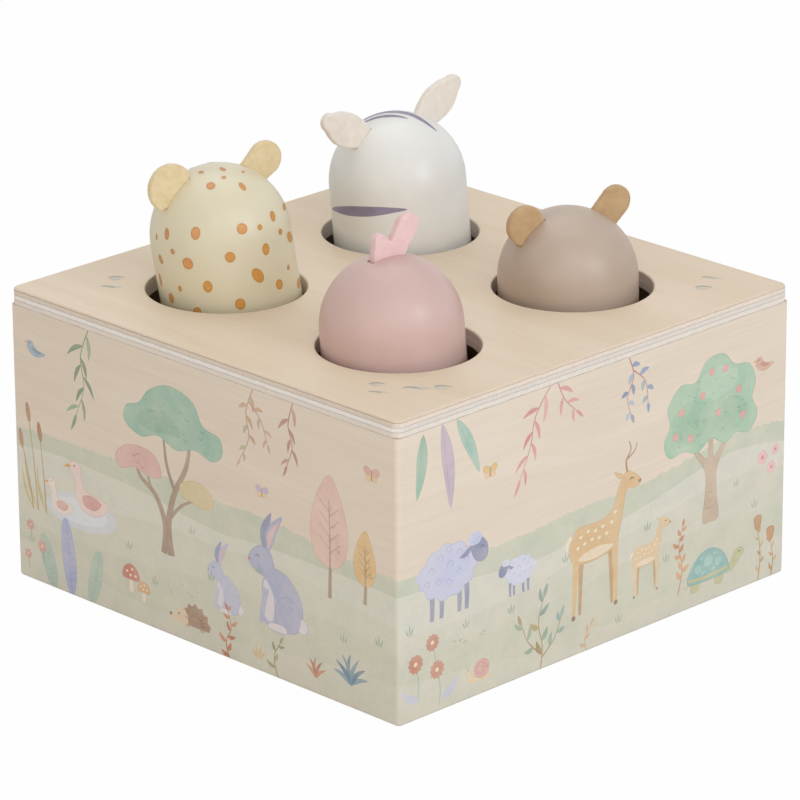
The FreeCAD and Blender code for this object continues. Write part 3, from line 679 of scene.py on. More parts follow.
def flame_tree(crown, edge, tick, height=36, width=15):
    """A slender tree with one tall pointed crown."""
    shapes = line([(0, 0), (0.4, height * 0.4), (0, height * 0.86)], 1.5, 0.4, "#A58C76", 0.92)
    outline = smooth(
        [(0, height * 0.24), (width * 0.36, height * 0.32), (width * 0.5, height * 0.52),
         (width * 0.36, height * 0.78), (0.4, height), (-width * 0.34, height * 0.8),
         (-width * 0.5, height * 0.54), (-width * 0.38, height * 0.32)],
    )
    shapes += washed(outline, crown, edge, 0.9)
    shapes += line(
        [(0, height * 0.1), (0.3, height * 0.45), (0, height * 0.8)], 0.8, 0.3, "#A58C76", 0.75,
    )
    for v in (0.36, 0.46, 0.56, 0.66):
        shapes += line(
            [(0, height * v), (width * 0.26, height * (v + 0.09))], 0.4, 0.25, "#A58C76", 0.6,
        )
        shapes += line(
            [(0, height * (v + 0.04)), (-width * 0.26, height * (v + 0.13))], 0.4, 0.25, "#A58C76",
            0.6,
        )
    return shapes + ticks(0, height * 0.6, width * 0.34, height * 0.26, 9, tick, 1.2, 15, 0.6)


print("layered and flame trees ready")


# %% Hare and deer
def hare(fur="#B4B6CF", shade="#8F93B4"):
    """A sitting hare that looks to the right."""
    light = "#E7DFE0"
    shapes = blade(12.8, 19, 10.5, 3.2, 104, shade, 0.93, -0.1)
    shapes += form(
        [(2, 1), (0, 5), (0.6, 10), (4.6, 14.2), (9.5, 15.4), (13, 12.5), (13.8, 8.5), (13.2, 4),
         (12.8, 0.6), (7, 0)],
        fur, shade,
    )
    shapes += washed(oval(0.2, 3.2, 2.1, 2.1, 0, 14), light, shade)
    shapes += patch([(10.2, 2), (9.8, 8), (12.6, 11.8), (13.5, 8), (13.1, 2.5)], light, 0.75)
    shapes += form(
        [(9.6, 14), (10.4, 18.6), (14, 20), (17.2, 18), (18.4, 15.4), (16.6, 13.4), (13, 12.4)],
        fur, shade,
    )
    shapes += washed(leaf(11.6, 18.8, 11.5, 3.6, 116, -0.1), fur, shade)
    shapes += blade(11.4, 19.6, 8.8, 1.8, 116, "#E2BDB6", 0.85, -0.1)
    shapes += form(
        [(1.4, 2), (0.8, 6.4), (4, 9.4), (8, 8), (9.4, 4.2), (8, 1), (4, 0.2)], fur, shade,
    )
    shapes += form([(5.5, -0.4), (11.2, -0.5), (12, 0.6), (10.6, 1.5), (6.4, 1.6)], light, shade)
    shapes += line([(12.4, 9.5), (13.4, 5), (14.2, 0.4)], 2.1, 1.3, fur, 0.93)
    shapes += line([(14.5, 16.8), (15.2, 17.3), (15.9, 16.9)], 0.4, 0.3, "#5E5F78", 0.9, 3)
    shapes += dot(18.0, 15.6, 0.5, 0.4, "#C98F8B", 0.9)
    return shapes + ticks(5.5, 9, 4.5, 4, 8, shade, 0.9, 21, 0.55)


def deer(coat="#DDBB8A", shade="#C29A66", horns=True):
    """A standing deer with pale spots and small horns."""
    light = "#F1E4CC"
    shapes = []
    for u, lean in ((4.2, -0.5), (14.6, 0.6)):
        shapes += line([(u, 17), (u + lean * 0.5, 9), (u + lean, 1)], 2.0, 0.9, shade, 0.9)
    shapes += form(
        [(1, 22), (-0.2, 18.4), (1.6, 14.8), (6.6, 14), (12, 14.4), (15.6, 15.2), (17.4, 18),
         (18.6, 22), (19.6, 27), (20.6, 29.6), (23.4, 29.2), (25.4, 30.2), (24.8, 31.7),
         (22.2, 33.7), (20.0, 34.3), (17.6, 31.6), (15.6, 26.6), (13, 24.4), (8, 24), (3.4, 24.2)],
        coat, shade,
    )
    for u, lean in ((2.4, -0.9), (16.2, 0.4)):
        shapes += line([(u, 18), (u + lean * 0.4, 9.5), (u + lean, 0.8)], 2.6, 1.0, coat, 0.93)
        shapes += dot(u + lean, 0.7, 0.75, 0.7, "#8A6C55", 0.92)
    shapes += patch(
        [(3, 15.6), (7, 14.6), (12.5, 15), (15.5, 16.4), (11, 17.4), (6, 17)], light, 0.7,
    )
    for u, v in ((4, 21.4), (6.6, 22.3), (9.2, 21.8), (11.8, 22.2), (5.4, 19.4), (8, 19.8),
                 (10.6, 19.6), (13.2, 20), (15, 22.4), (16.2, 24.8), (3, 18.8)):
        shapes += dot(u, v, 0.62, 0.48, light, 0.85, tilt=10)
    shapes += washed(leaf(19.4, 33, 4.2, 1.7, 150, 0.05), coat, shade)
    shapes += line([(0.6, 22.4), (-0.9, 20.6), (-0.8, 19)], 1.3, 0.5, light, 0.9)
    if horns:
        shapes += line([(20.4, 34), (20, 37), (21.6, 39.6), (21, 42)], 0.7, 0.35, "#A5815E", 0.92)
        shapes += line([(20.6, 37.6), (23, 39), (23.8, 41)], 0.5, 0.3, "#A5815E", 0.92)
    shapes += line([(21.4, 31.8), (22.1, 32.2), (22.8, 31.8)], 0.38, 0.3, "#6E543F", 0.9, 3)
    shapes += dot(25.0, 30.6, 0.55, 0.45, "#7B5F4B", 0.9)
    return shapes


print("hare and deer ready")


# %% Sheep, tortoise and duck
def sheep(fleece="#C9CCE4", shade="#A3A8CB"):
    """A sheep with a curly fleece."""
    face, dark = "#8E93B2", "#757A9C"
    shapes = []
    for u in (4.5, 7.8, 14, 16.6):
        shapes += line([(u, 8), (u + 0.2, 4), (u, 0.3)], 1.9, 1.3, face, 0.93)
    shapes += washed(lumpy(10.2, 12.2, 10.4, 7.6, 11, 0.13, 6), fleece, shade, 0.95, 0.25)
    rng = random.Random(11)
    for u, v in ((4.5, 13.5), (7.6, 16), (11, 13.6), (14.2, 16), (6.8, 10), (10.4, 9), (14, 11),
                 (2.8, 10.4), (16.6, 13.4), (10.4, 17.6)):
        r = rng.uniform(0.9, 1.2)
        shapes += line(
            [(u - r, v), (u, v + r), (u + r, v), (u, v - r * 0.5)], 0.32, 0.2, shade, 0.7, 3,
        )
    shapes += form(
        [(18, 17.6), (21.4, 18.4), (24, 16), (24.2, 12.8), (22, 11.4), (19.2, 13)], face, dark,
    )
    shapes.append((lumpy(19.6, 18.2, 2.8, 1.9, 6, 0.14, 8), fleece, 0.95))
    shapes += washed(leaf(18.4, 16.4, 4.6, 1.9, 205, 0.1), face, dark)
    shapes += line([(21.6, 15.3), (22.3, 15.7), (23, 15.2)], 0.35, 0.3, "#4E5270", 0.9, 3)
    shapes.append((lumpy(0.4, 13, 1.6, 1.3, 5, 0.14, 9), fleece, 0.95))
    return shapes


def tortoise():
    """A tortoise with a teal shell."""
    skin, edge = "#C8C69A", "#A6A276"
    shapes = form(
        [(17.5, 4), (20.5, 6), (22.5, 9), (25.6, 9.4), (26.6, 7.4), (24.6, 5.4), (22, 3),
         (18.5, 2)],
        skin, edge,
    )
    for u in (3.4, 14.8):
        shapes += form(
            [(u - 1.6, 3.4), (u - 2.2, 0.4), (u + 0.2, -0.5), (u + 1.8, 0.2), (u + 2, 3.4)], skin,
            edge,
        )
    shapes += blade(1, 3.4, 3.6, 1.3, 200, skin, 0.92)
    shapes += form(
        [(0, 3), (0.6, 7.4), (5.6, 12.2), (11, 13.2), (16.4, 10.6), (19.4, 5.6), (19, 2.8),
         (10, 2.2)],
        "#93BDB7", "#6C9A97", 0.95, 0.26,
    )
    shapes += line([(0.3, 4.2), (9.5, 3.7), (19, 4.4)], 0.7, 0.7, "#E0C27A", 0.92)
    for u, v, w, h in ((9.6, 9, 2.5, 2.2), (4.8, 7.2, 1.9, 1.8), (14.4, 7.7, 1.9, 1.8),
                       (7.2, 5.6, 1.4, 0.9), (12, 5.8, 1.4, 0.9), (6.4, 10.7, 1.3, 0.8),
                       (12.8, 11, 1.2, 0.7)):
        shapes += washed(oval(u, v, w, h, 0, 12), "#A9CEC4", "#78A5A0", 0.9, 0.2)
    shapes += line([(24, 8), (24.6, 8.3), (25.2, 8)], 0.32, 0.3, "#5E6A50", 0.9, 3)
    return shapes


def duck(coat="#F0D9D0", wing="#DDA9A2"):
    """A swimming duck."""
    shapes = form(
        [(0, 5), (2, 2), (6, 0.3), (11, 0.8), (14, 3.5), (14.8, 7), (14.6, 10), (16.8, 12.6),
         (16.4, 14.8), (14.2, 15.6), (12, 14.4), (11.6, 11.5), (10.6, 8), (7, 6.8), (3, 6.6)],
        coat, "#CF9C95",
    )
    shapes += form([(3.2, 5), (6, 2.2), (10.4, 2.6), (11.2, 5.4), (7.4, 6.4)], wing, "#C2867F")
    shapes += blade(16.2, 13.4, 3, 1.2, -12, "#D9A24E", 0.93)
    shapes += dot(14.6, 14, 0.35, 0.35, "#6B4F4A", 0.9)
    return shapes


print("sheep, tortoise and duck ready")


# %% Hedgehog and snail
def hedgehog():
    """A small hedgehog with a spiky back."""
    spikes = [(1, 0.6)]
    for i in range(15):
        a = math.pi - i * math.pi / 14
        r = 1.0 if i % 2 else 0.86
        spikes.append((7 + math.cos(a) * 7 * r, 0.8 + math.sin(a) * 7.6 * r))
    shapes = [([Vector(p) for p in spikes + [(13, 0.6)]], "#A88770", 0.94)]
    shapes += patch(
        [(11, 0.5), (10.4, 3.6), (12.6, 5.6), (15.6, 3.6), (18, 2.2), (16.6, 0.7)], "#E3CBAE",
        0.95,
    )
    for i in range(10):
        a = math.pi - (i + 0.6) * math.pi / 11
        shapes += line(
            [(7 + math.cos(a) * 2.6, 1.2 + math.sin(a) * 2.8),
             (7 + math.cos(a) * 5.2, 1 + math.sin(a) * 5.6)],
            0.4, 0.2, "#836550", 0.75, 2,
        )
    shapes += dot(18, 2.3, 0.6, 0.55, "#6A5044", 0.95)
    shapes += dot(14.3, 3.3, 0.38, 0.38, "#6A5044", 0.95)
    for u in (4, 10.6):
        shapes += dot(u, 0.2, 1.1, 0.5, "#C9AE92", 0.95)
    return shapes


def snail():
    """A snail with a rose shell."""
    shapes = form(
        [(0, 0.6), (5, 0), (12, 0.2), (14, 3), (14.4, 5.6), (12.6, 6), (11.2, 3), (8, 2.2),
         (3, 1.8)],
        "#E6D2AE", "#C9AF83",
    )
    shapes += washed(oval(6.2, 5, 4.4, 4.1), "#DDA69F", "#BE837C")
    shapes += line(
        [(2.8, 4.4), (6.4, 7.8), (9.2, 5), (6.6, 2.6), (4.8, 4.8), (6.6, 6)], 0.5, 0.35, "#BE837C",
        0.85,
    )
    for u, v in ((12.6, 9), (14.8, 8.6)):
        shapes += line([(13.4, 5.6), (u, v)], 0.35, 0.3, "#C9AF83", 0.9, 2)
    return shapes


print("hedgehog and snail ready")


# %% Mushroom, butterfly and bird
def mushroom(cap="#D08A78", edge="#B36F5F"):
    """A mushroom with a spotted cap."""
    shapes = form([(-0.9, 0), (-0.7, 4.5), (0.8, 4.5), (1.1, 0)], "#F0E4D2", "#CDB79E")
    shapes += form([(-3.6, 4), (-2.9, 7), (0, 8.6), (3, 7), (3.7, 4), (0, 3.6)], cap, edge)
    for u, v in ((-1.6, 6), (0.6, 7), (2, 5.2), (-0.2, 5)):
        shapes += dot(u, v, 0.5, 0.4, "#F6EBDD", 0.92)
    return shapes


def butterfly(wing="#E0AE9E", edge="#C08775"):
    """A butterfly with open wings."""
    shapes = []
    for s in (-1, 1):
        shapes += washed(oval(s * 1.9, 1.2, 1.9, 1.5, s * 35, 14), wing, edge)
        shapes += washed(oval(s * 1.4, -1.1, 1.3, 1.1, s * -30, 12), "#EBC9A0", "#CDA06E")
    return shapes + line([(0, -2), (0, 0), (0, 2)], 0.5, 0.3, "#8C6B58", 0.92, 3)


def bird(body="#9DB4C4", wing="#7D97AC"):
    """A small perching bird."""
    shapes = form(
        [(0, 0.6), (2.6, 0), (5.4, 1), (6.8, 3.2), (6.2, 5), (4.4, 5.2), (3.2, 3.8), (1.6, 2.6),
         (-2.2, 2)],
        body, wing,
    )
    shapes += blade(4.6, 3, 5, 1.7, 195, wing, 0.9, 0.06)
    shapes += blade(6.6, 4.2, 1.5, 0.7, 0, "#D9A24E", 0.95)
    shapes += dot(5.4, 4.3, 0.28, 0.28, "#3F4B57", 0.95)
    return shapes


print("mushroom, butterfly and bird ready")

# %% [markdown]
# ## Two meadows
# The left and the front wall have a picture each, and the right and the back wall carry them
# mirrored. The hill line runs round all four corners without a step, with grass along it.

# %% The sizes of a wall
WALL = 160.0
WALL_TOP = 85.0
CORNER = 1.5
FOOT = 1.0
INSIDE = WALL / 2 - WALL_THICKNESS
# the flat skin starts and ends past the face by what rolls round the corners and the foot
FACE_START = CORNER - CORNER * math.pi / 4
FACE_END = WALL - FACE_START
FACE_LOW = FOOT - FOOT * math.pi / 2
HILLS = {  # the hill line on each wall, from its left end
    "left_panel": [
        (0, 47), (18, 47.6), (35, 47.8), (60, 48.7), (89, 47.1), (107, 47.3), (136, 44.6),
        (160, 43.4),
    ],
    "front_panel": [
        (0, 43.4), (18, 43.1), (35, 42.9), (54, 43.2), (70, 44.6), (99, 44.9), (137, 49.2),
        (160, 48),
    ],
    "right_panel": [
        (0, 48), (24, 46.6), (52, 48.9), (84, 50.6), (112, 48.4), (138, 45.2), (160, 44),
    ],
    "back_panel": [(0, 44), (30, 42.2), (60, 44.4), (92, 43), (124, 45.8), (160, 47)],
}
print("skin from", round(FACE_START, 2), "to", round(FACE_END, 2), "mm")


# %% The hill
def meadow(wall):
    """The hill with its grassy edge, and paler and greener washes across it."""
    rng = random.Random(wall)
    edge = smooth(HILLS[wall], False, 24)
    top = []
    for a, b in zip(edge, edge[1:]):
        for share in (0.0, 0.5):
            p = a.lerp(b, share)
            grass = rng.uniform(0.15, 0.75) if rng.random() < 0.55 else 0.0
            top.append(Vector((p.x, p.y + grass)))
    top[0] = edge[0]
    top.append(edge[-1])

    def lowered(depth, swing, length, start):
        """The hill's edge let down by a depth that swings along the wall."""
        return [Vector((p.x, p.y - depth - swing * math.sin(p.x / length + start))) for p in edge]

    def level(height, swing, length, start):
        """A line at a height that swings along the wall."""
        return [Vector((p.x, height + swing * math.sin(p.x / length + start))) for p in edge]

    ground = [Vector((WALL, -1)), Vector((0, -1))]
    belt, low = lowered(7, 2.2, 21, len(wall)), lowered(15, 2.6, 33, 1)
    middle, foot = level(21, 3.0, 31, 4), level(9, 3.4, 27, 2)
    # the hill, a greener belt under its edge, a pale one below that, and a warm foot
    return [
        (top + ground, "#CFD1C1", 0.76),
        (top + belt[::-1], "#B4C2A9", 0.36),
        (belt + low[::-1], "#DFE0D5", 0.34),
        (middle + foot[::-1], "#C3C8AE", 0.26),
    ]


print("hill ready")

# %% The left meadow
left_art = placed(flame_tree("#E5C3B4", "#CFA08F", "#B98576"), 133, 31, 1.02)
left_art += placed(flame_tree("#E2BE84", "#C99D5B", "#AE8146", 22, 9), 147, 33, 1.0)
left_art += placed(layered_tree(), 66, 25, 1.14, True)
left_art += placed(hare(), 122, 15, 1.2, True)
left_art += placed(hare("#C4C6DA", "#9FA3C2"), 96.5, 14, 0.74, True)
print("first shapes of the left meadow:", len(left_art))

# %% The left meadow's pond and plants
left_art += dot(29, 27.5, 15.5, 5.6, "#D5DBE4", 0.8, tilt=3, count=26)
left_art += dot(28, 27.6, 12.2, 3.9, "#E4E7EC", 0.7, tilt=3, count=24)
left_art += placed(duck(), 41, 27.5, 1.0, True)
left_art += placed(duck("#F3E4DA", "#E3B9AC"), 25.5, 24.6, 0.66, True)
for u, height, lean in ((13.4, 24, -2), (9.8, 29, -3.2), (7.6, 20, -4.4)):
    left_art += line(
        [(u, 23), (u + lean * 0.4, 23 + height * 0.5), (u + lean, 23 + height)], 0.55, 0.3,
        "#B98F4C", 0.9,
    )
    left_art += washed(
        oval(u + lean * 1.05, 24 + height, 1.0, 3.1, 9, 12), "#B9835C", "#966443", 0.9,
    )
    left_art += blade(u, 23, height * 0.62, 1.2, 98 - lean * 3, "#C9B268", 0.8, 0.08)
left_art += placed(hedgehog(), 84, 5, 0.95, True)
left_art += placed(mushroom(), 50, 9, 1.0)
left_art += placed(mushroom("#DDB07A", "#BE8C54"), 55.4, 7.4, 0.72)
left_art += placed(fern(["#7C9BAC", "#5F8196"], 7, 9.5), 141, 7)
left_art += placed(fern(["#CE8E6E", "#BB7457"], 5, 6.5, 100, 1.3), 127, 5)
left_art += placed(feather(25, 6.0, "#B3B7D8", "#8F95BF"), 24, -1, 1.0, False, 5)
left_art += placed(feather(18, 5.8, "#B6C9BC", "#96AFA0"), 16.5, -1, 1.0, False, 16)
left_art += placed(feather(19, 5.6, "#BCCDBE", "#9BB3A4"), 32, -1, 1.0, False, -14)
left_art += sprig(
    [(92, -1), (90.2, 5), (92.4, 10), (91, 15)], "#B9694B", ["#C97B57", "#BE6C4A", "#D38F6B"], 4.0,
    1.9, 2.2, 48, 0.08, 0.35, seed=4,
)
left_art += sprig(
    [(112, -1), (110, 6), (112.4, 11)], "#8A8A5A", ["#A3A56C", "#8C9157"], 4.2, 1.6, 2.6, 44, 0.3,
    0.3, seed=6,
)
left_art += placed(tuft(5, "#D9A94E", 4), 103, 4)
for u, v, h in ((104, 30, 3.2), (84, 22, 3.4), (49, 22, 3.2), (152, 22, 3.6), (138, 19, 3),
                (60, 14, 3), (6, 12, 3.4), (76, 34, 2.8)):
    left_art += placed(tuft(h, "#8DA588", 3), u, v)
for u, v, r in ((6, 17.5, 1.8), (11, 12, 2.1), (4.6, 8, 1.6)):
    left_art += line([(u, v), (u + 0.6, v - 4.6)], 0.35, 0.3, "#9AA77C", 0.85, 2)
    left_art += blossom(u, v, r, 8, "#D9A19A", "#F0D9A2")
left_art += sprig(
    [(103, 85), (100, 77.6), (101, 70), (97.4, 63)], "#B9897A", ["#C9A27E", "#B7B08E", "#D3B094"],
    4.8, 1.9, 3.1, 42, 0.1, 0.35, seed=8,
)
left_art += sprig(
    [(101, 81), (106, 76.4), (108.6, 70)], "#B9897A", ["#C9A27E", "#B7B08E"], 4.2, 1.7, 3, 42, 0.2,
    0.35, seed=9,
)
left_art += sprig(
    [(34, 85), (30.4, 76), (31.6, 67), (28, 58)], "#7E9A74", ["#8FAE86", "#6F8F6C"], 8.2, 1.9, 3.4,
    30, 0.06, 0.25, seed=10,
)
left_art += sprig(
    [(119, 85), (117, 78), (118.6, 72), (116.4, 66)], "#A8745F", ["#B98270", "#C79887"], 6.0, 1.7,
    3.2, 32, 0.06, 0.3, seed=11,
)
left_art += placed(bird(), 13, 71, 0.9, True)
left_art += placed(butterfly(), 150, 72, 0.85)
left_art += placed(butterfly("#C6B4D0", "#A08BB0"), 106, 55, 0.7)
left_art += ticks(70, 15, 16, 3, 7, "#B59A7C", 0.9, 31)
print("shapes of the left meadow:", len(left_art))

# %% The front meadow
front_art = placed(round_tree(), 127, 26, 0.98)
front_art += placed(sheep(), 8, 27.5, 1.12)
front_art += placed(sheep("#D6D8EA", "#ADB2D0"), 54, 26, 0.6, True)
front_art += placed(deer(), 68, 11, 1.16)
front_art += placed(deer("#E4C79C", "#C9A473", horns=False), 94, 10.5, 0.64)
front_art += placed(tortoise(), 118, 5, 0.9)
front_art += placed(snail(), 37, 4.5, 0.72, True)
for u, v, r in ((149.6, 39, 2.3), (153.6, 35, 2.0), (155.2, 40.2, 1.7)):
    front_art += washed(lumpy(u, v, r, r, 5, 0.22, 3), "#EDBFC0", "#DC9DA0", 0.86)
    front_art += dot(u, v, r * 0.32, r * 0.32, "#C97B80", 0.85)
front_art += sprig(
    [(56, -1), (57, 7), (55.4, 15), (57.6, 22)], "#A87F68",
    ["#8FA88E", "#A49258", "#7E9E94", "#B1A063"], 5.4, 2.3, 4.2, 40, 0.22, 0.2, seed=14,
)
front_art += sprig(
    [(56.6, 5), (51.4, 10), (48.6, 16)], "#A87F68", ["#8FA88E", "#A49258"], 4.8, 2.0, 3.9, 42, 0.3,
    0.2, seed=15,
)
front_art += sprig(
    [(57, 4), (62, 8.4), (64.6, 14)], "#A87F68", ["#A49258", "#8FB0A6"], 4.6, 2.0, 3.8, 42, 0.3,
    0.2, seed=16,
)
front_art += sprig(
    [(113.6, 6), (115.4, 14), (113.8, 21), (115.4, 27)], "#C2855F", ["#C97B4E", "#D79A6A"], 3.6,
    2.0, 1.8, 46, 0.2, 0.3, seed=17,
)
front_art += sprig(
    [(76, -1), (74.4, 4), (77, 8)], "#D3AC82", ["#DDB98D", "#CFA374"], 3.0, 1.4, 2.2, 46, 0.3, 0.3,
    seed=18,
)
print("first shapes of the front meadow:", len(front_art))

# %% The front meadow's flowers and hanging leaves
for u, v, r in ((6.6, 17, 2.9), (13.2, 21.6, 2.6), (15, 13, 2.8)):
    front_art += line([(u, v), (u + 1.2, v - 6), (u + 0.6, v - 11)], 0.5, 0.4, "#A9BCA2", 0.8)
    front_art += blossom(u, v, r, 11, "#C98A76", "#F0E0B4")
front_art += blade(8, 6, 8, 2.8, 148, "#C5CBE2", 0.8, 0.12)
front_art += blade(16.6, 4, 8, 2.8, 36, "#C5CBE2", 0.8, -0.1)
front_art += sprig(
    [(60, 85), (54, 77.4), (52, 69), (48, 60.6)], "#C27C79", ["#D98F8E", "#CF7F7F", "#E3A6A2"],
    8.0, 1.9, 3.6, 32, 0.1, 0.3, seed=19,
)
front_art += sprig(
    [(63, 85), (65.6, 79.6), (70.2, 75)], "#C27C79", ["#D98F8E", "#E3A6A2"], 6.2, 1.7, 3.2, 34,
    0.1, 0.3, seed=20,
)
for u, v, length, width, angle, ink, edge in ((10, 84, 19, 4.9, 262, "#9FC0AC", "#7EA58E"),
                                              (17.4, 85, 26, 5.4, 277, "#C3B2C2", "#A291A6"),
                                              (23, 85, 20, 4.7, 296, "#A7C7B8", "#86AD9C")):
    front_art += washed(leaf(u, v, length, width, angle, 0.03), ink, edge, 0.84)
    turn = math.radians(angle)
    end = (u + math.cos(turn) * length * 0.8, v + math.sin(turn) * length * 0.8)
    front_art += line([(u, v), end], 0.35, 0.2, edge, 0.5)
front_art += sprig(
    [(92, 85), (94, 79), (91.4, 73), (93, 67.6)], "#B9756B", ["#7F95BC", "#6E86AE", "#A9B7C9"],
    4.0, 2.0, 2.9, 48, 0.14, 0.2, seed=22,
)
front_art += sprig(
    [(94, 80.6), (99, 76), (100, 69.4)], "#B9756B", ["#7F95BC", "#93AEB4"], 4.0, 2.0, 2.8, 48, 0.2,
    0.2, seed=23,
)
front_art += placed(bird("#D9AE9A", "#BF8B75"), 152, 66, 0.9, True)
front_art += placed(butterfly("#E3C07E", "#C29A4F"), 36, 66, 0.8)
for u, v, h in ((4, 26, 3.6), (44, 21, 3.2), (66, 30, 3.2), (100, 30, 3.2), (108, 18, 3),
                (26, 22, 3), (146, 24, 3.2), (88, 5, 3), (138, 33, 2.8)):
    front_art += placed(tuft(h, "#8AA38C", 3), u, v)
front_art += ticks(30, 19.6, 9, 1.8, 7, "#A98F72", 0.9, 33)
for u, height in ((148.4, 17), (154, 12)):
    front_art += sprig(
        [(u, -1), (u + 1, height * 0.5), (u - 0.4, height)], "#B58A55", ["#D3A96B", "#C4945A"], 3,
        1.2, 2.6, 40, 0.2, 0.3, seed=int(u),
    )
    front_art += form(
        [(u - 2, height + 3.6), (u - 1.5, height + 0.4), (u - 0.4, height - 0.6),
         (u + 0.8, height + 0.4), (u + 1.4, height + 3.6), (u - 0.3, height + 4.4)],
        "#C79468", "#9C6B42", 0.9,
    )
print("shapes of the front meadow:", len(front_art))

# %% [markdown]
# ### Setting the drawings into the wall
# To keep every edge of the print crisp, the outlines are cut into the wall's own skin: a
# constrained triangulation takes them all as edges, and each small triangle then gets the
# inks that lie over it. An image would blur close up, and loose flat pieces would stand
# proud of the veneer. The skin wraps round the rounded corners to the mitre, so it is laid
# out flat, cut, and then rolled round the corner again.

# %% Cutting the skin
WELD = 0.0005  # points of the cut that are nearer than this become one, in millimetres
CORNER_STEPS = 6
FOOT_STEPS = 5


def within(points, outline):
    """Which of the points lie inside an outline, by its winding number."""
    x, z = points[:, 0, None], points[:, 1, None]
    ax, az = outline[:, 0], outline[:, 1]
    bx, bz = np.roll(outline, -1, axis=0).T
    side = (bx - ax) * (z - az) - (x - ax) * (bz - az)
    up = (az <= z) & (bz > z) & (side > 0)
    down = (az > z) & (bz <= z) & (side < 0)
    return (up.sum(1) - down.sum(1)) != 0


def cut_skin(outlines):
    """The flat skin cut along every outline: its points and its triangles."""
    points, edges = [], []
    border = [
        (FACE_START, FACE_LOW), (FACE_END, FACE_LOW), (FACE_END, WALL_TOP), (FACE_START, WALL_TOP)
    ]
    for outline in outlines + [border]:
        first, count = len(points), len(outline)
        for x, z in outline:
            x, z = min(max(x, FACE_START), FACE_END), min(max(z, FACE_LOW), WALL_TOP)
            points.append((x, z))
        edges += [(first + i, first + (i + 1) % count) for i in range(count)]
    # lines along the rounded corners and the eased foot let the skin bend there
    creases = []
    for k in range(CORNER_STEPS):
        reach = k * (CORNER - FACE_START) / CORNER_STEPS
        for u in (CORNER - reach, WALL - CORNER + reach):
            creases.append([(u, FACE_LOW), (u, WALL_TOP)])
    for k in range(FOOT_STEPS):
        z = FOOT - k * (FOOT - FACE_LOW) / FOOT_STEPS
        creases.append([(FACE_START, z), (FACE_END, z)])
    for crease in creases:
        edges.append((len(points), len(points) + 1))
        points += crease
    found = delaunay_2d_cdt([Vector(p) for p in points], edges, [], 0, WELD, False)
    return np.array([tuple(p) for p in found[0]]), np.array(found[2])


print("skin cutter ready")


# %% Ink on the skin, and its place on the box
def inked(flat, triangles, art):
    """The ink on each triangle: a colour and its cover, laid on in the motif's order."""
    middles = flat[triangles].mean(axis=1)
    ink = np.zeros((len(triangles), 4))
    for outline, hex_colour, cover in art:
        shape = np.array([tuple(p) for p in outline])
        inside_box = (middles >= shape.min(0)) & (middles <= shape.max(0))
        near = np.where(np.all(inside_box, axis=1))[0]
        hit = near[within(middles[near], shape)]
        old = ink[hit]
        under = old[:, 3] * (1 - cover)
        alpha = under + cover
        mixed = old[:, :3] * under[:, None] + np.array(linear(hex_colour)[:3]) * cover
        ink[hit, :3] = mixed / alpha[:, None]
        ink[hit, 3] = alpha
    return ink


def rolled(u, z, along, out):
    """Where a place on the flat skin lies on the box, and its outward direction."""
    bend = max(CORNER - u, 0, u - (WALL - CORNER)) / CORNER
    side = -1 if u < WALL / 2 else 1
    level = out * math.cos(bend) + along * side * math.sin(bend)
    if bend:
        place = (along * side + out) * (WALL / 2 - CORNER) + level * CORNER
    else:
        place = along * (u - WALL / 2) + out * (WALL / 2)
    dip = max(FOOT - z, 0) / FOOT
    normal = level * math.cos(dip) - Vector((0, 0, math.sin(dip)))
    return place + (normal - level) * FOOT + Vector((0, 0, max(z, FOOT))), normal


print("ink and rolling ready")


# %% Build the four walls
def wall_mesh(name, along, out, art):
    """A closed wall: printed skin, mitred ends, plain inside."""
    flat, triangles = cut_skin([outline for outline, _, _ in art])
    skin = [rolled(u, z, along, out) for u, z in flat]
    places = [place for place, _ in skin]
    low_left, high_left, low_right, high_right = range(len(places), len(places) + 4)
    for u in (-INSIDE, INSIDE):
        places += [along * u + out * INSIDE + Vector((0, 0, z)) for z in (0, WALL_TOP)]

    def border(column, value):
        """The skin's points on one of its sides, in order along it."""
        found = np.where(abs(flat[:, column] - value) < 1e-3)[0]
        return [int(i) for i in sorted(found, key=lambda i: flat[i, 1 - column])]

    closing = [
        border(1, WALL_TOP) + [high_right, high_left],
        (border(1, FACE_LOW) + [low_right, low_left])[::-1],
        border(0, FACE_START) + [high_left, low_left],
        (border(0, FACE_END) + [high_right, low_right])[::-1],
        [low_left, high_left, high_right, low_right],
    ]
    faces = [tuple(int(i) for i in triangle) for triangle in triangles] + closing
    mesh = new_mesh(name, places, faces, (printed_birch, wall_edge, plain_birch))
    mesh.polygons.foreach_set("material_index", [0] * len(triangles) + [1, 1, 1, 1, 2])
    mesh.polygons.foreach_set("use_smooth", [True] * len(faces))
    inks = np.zeros((len(mesh.loops), 4), np.float32)
    inks[: 3 * len(triangles)] = np.repeat(inked(flat, triangles, art), 3, axis=0)
    colours = mesh.color_attributes.new("ink", "FLOAT_COLOR", "CORNER")
    colours.data.foreach_set("color", inks.ravel())
    depths = [FOOT - FOOT * math.cos(max(FOOT - z, 0) / FOOT) for _, z in flat]
    depth = mesh.attributes.new("depth", "FLOAT", "POINT")
    depth.data.foreach_set("value", depths + [WALL_THICKNESS] * 4)
    normals = [skin[i][1] for triangle in triangles for i in triangle]
    for polygon in list(mesh.polygons)[len(triangles) :]:
        normals += [polygon.normal.copy()] * polygon.loop_total
    mesh.normals_split_custom_set([tuple(normal) for normal in normals])
    return mesh


def mirrored(art):
    """The picture seen in a mirror."""
    return [([Vector((WALL - p[0], p[1])) for p in ring], ink, cover) for ring, ink, cover in art]


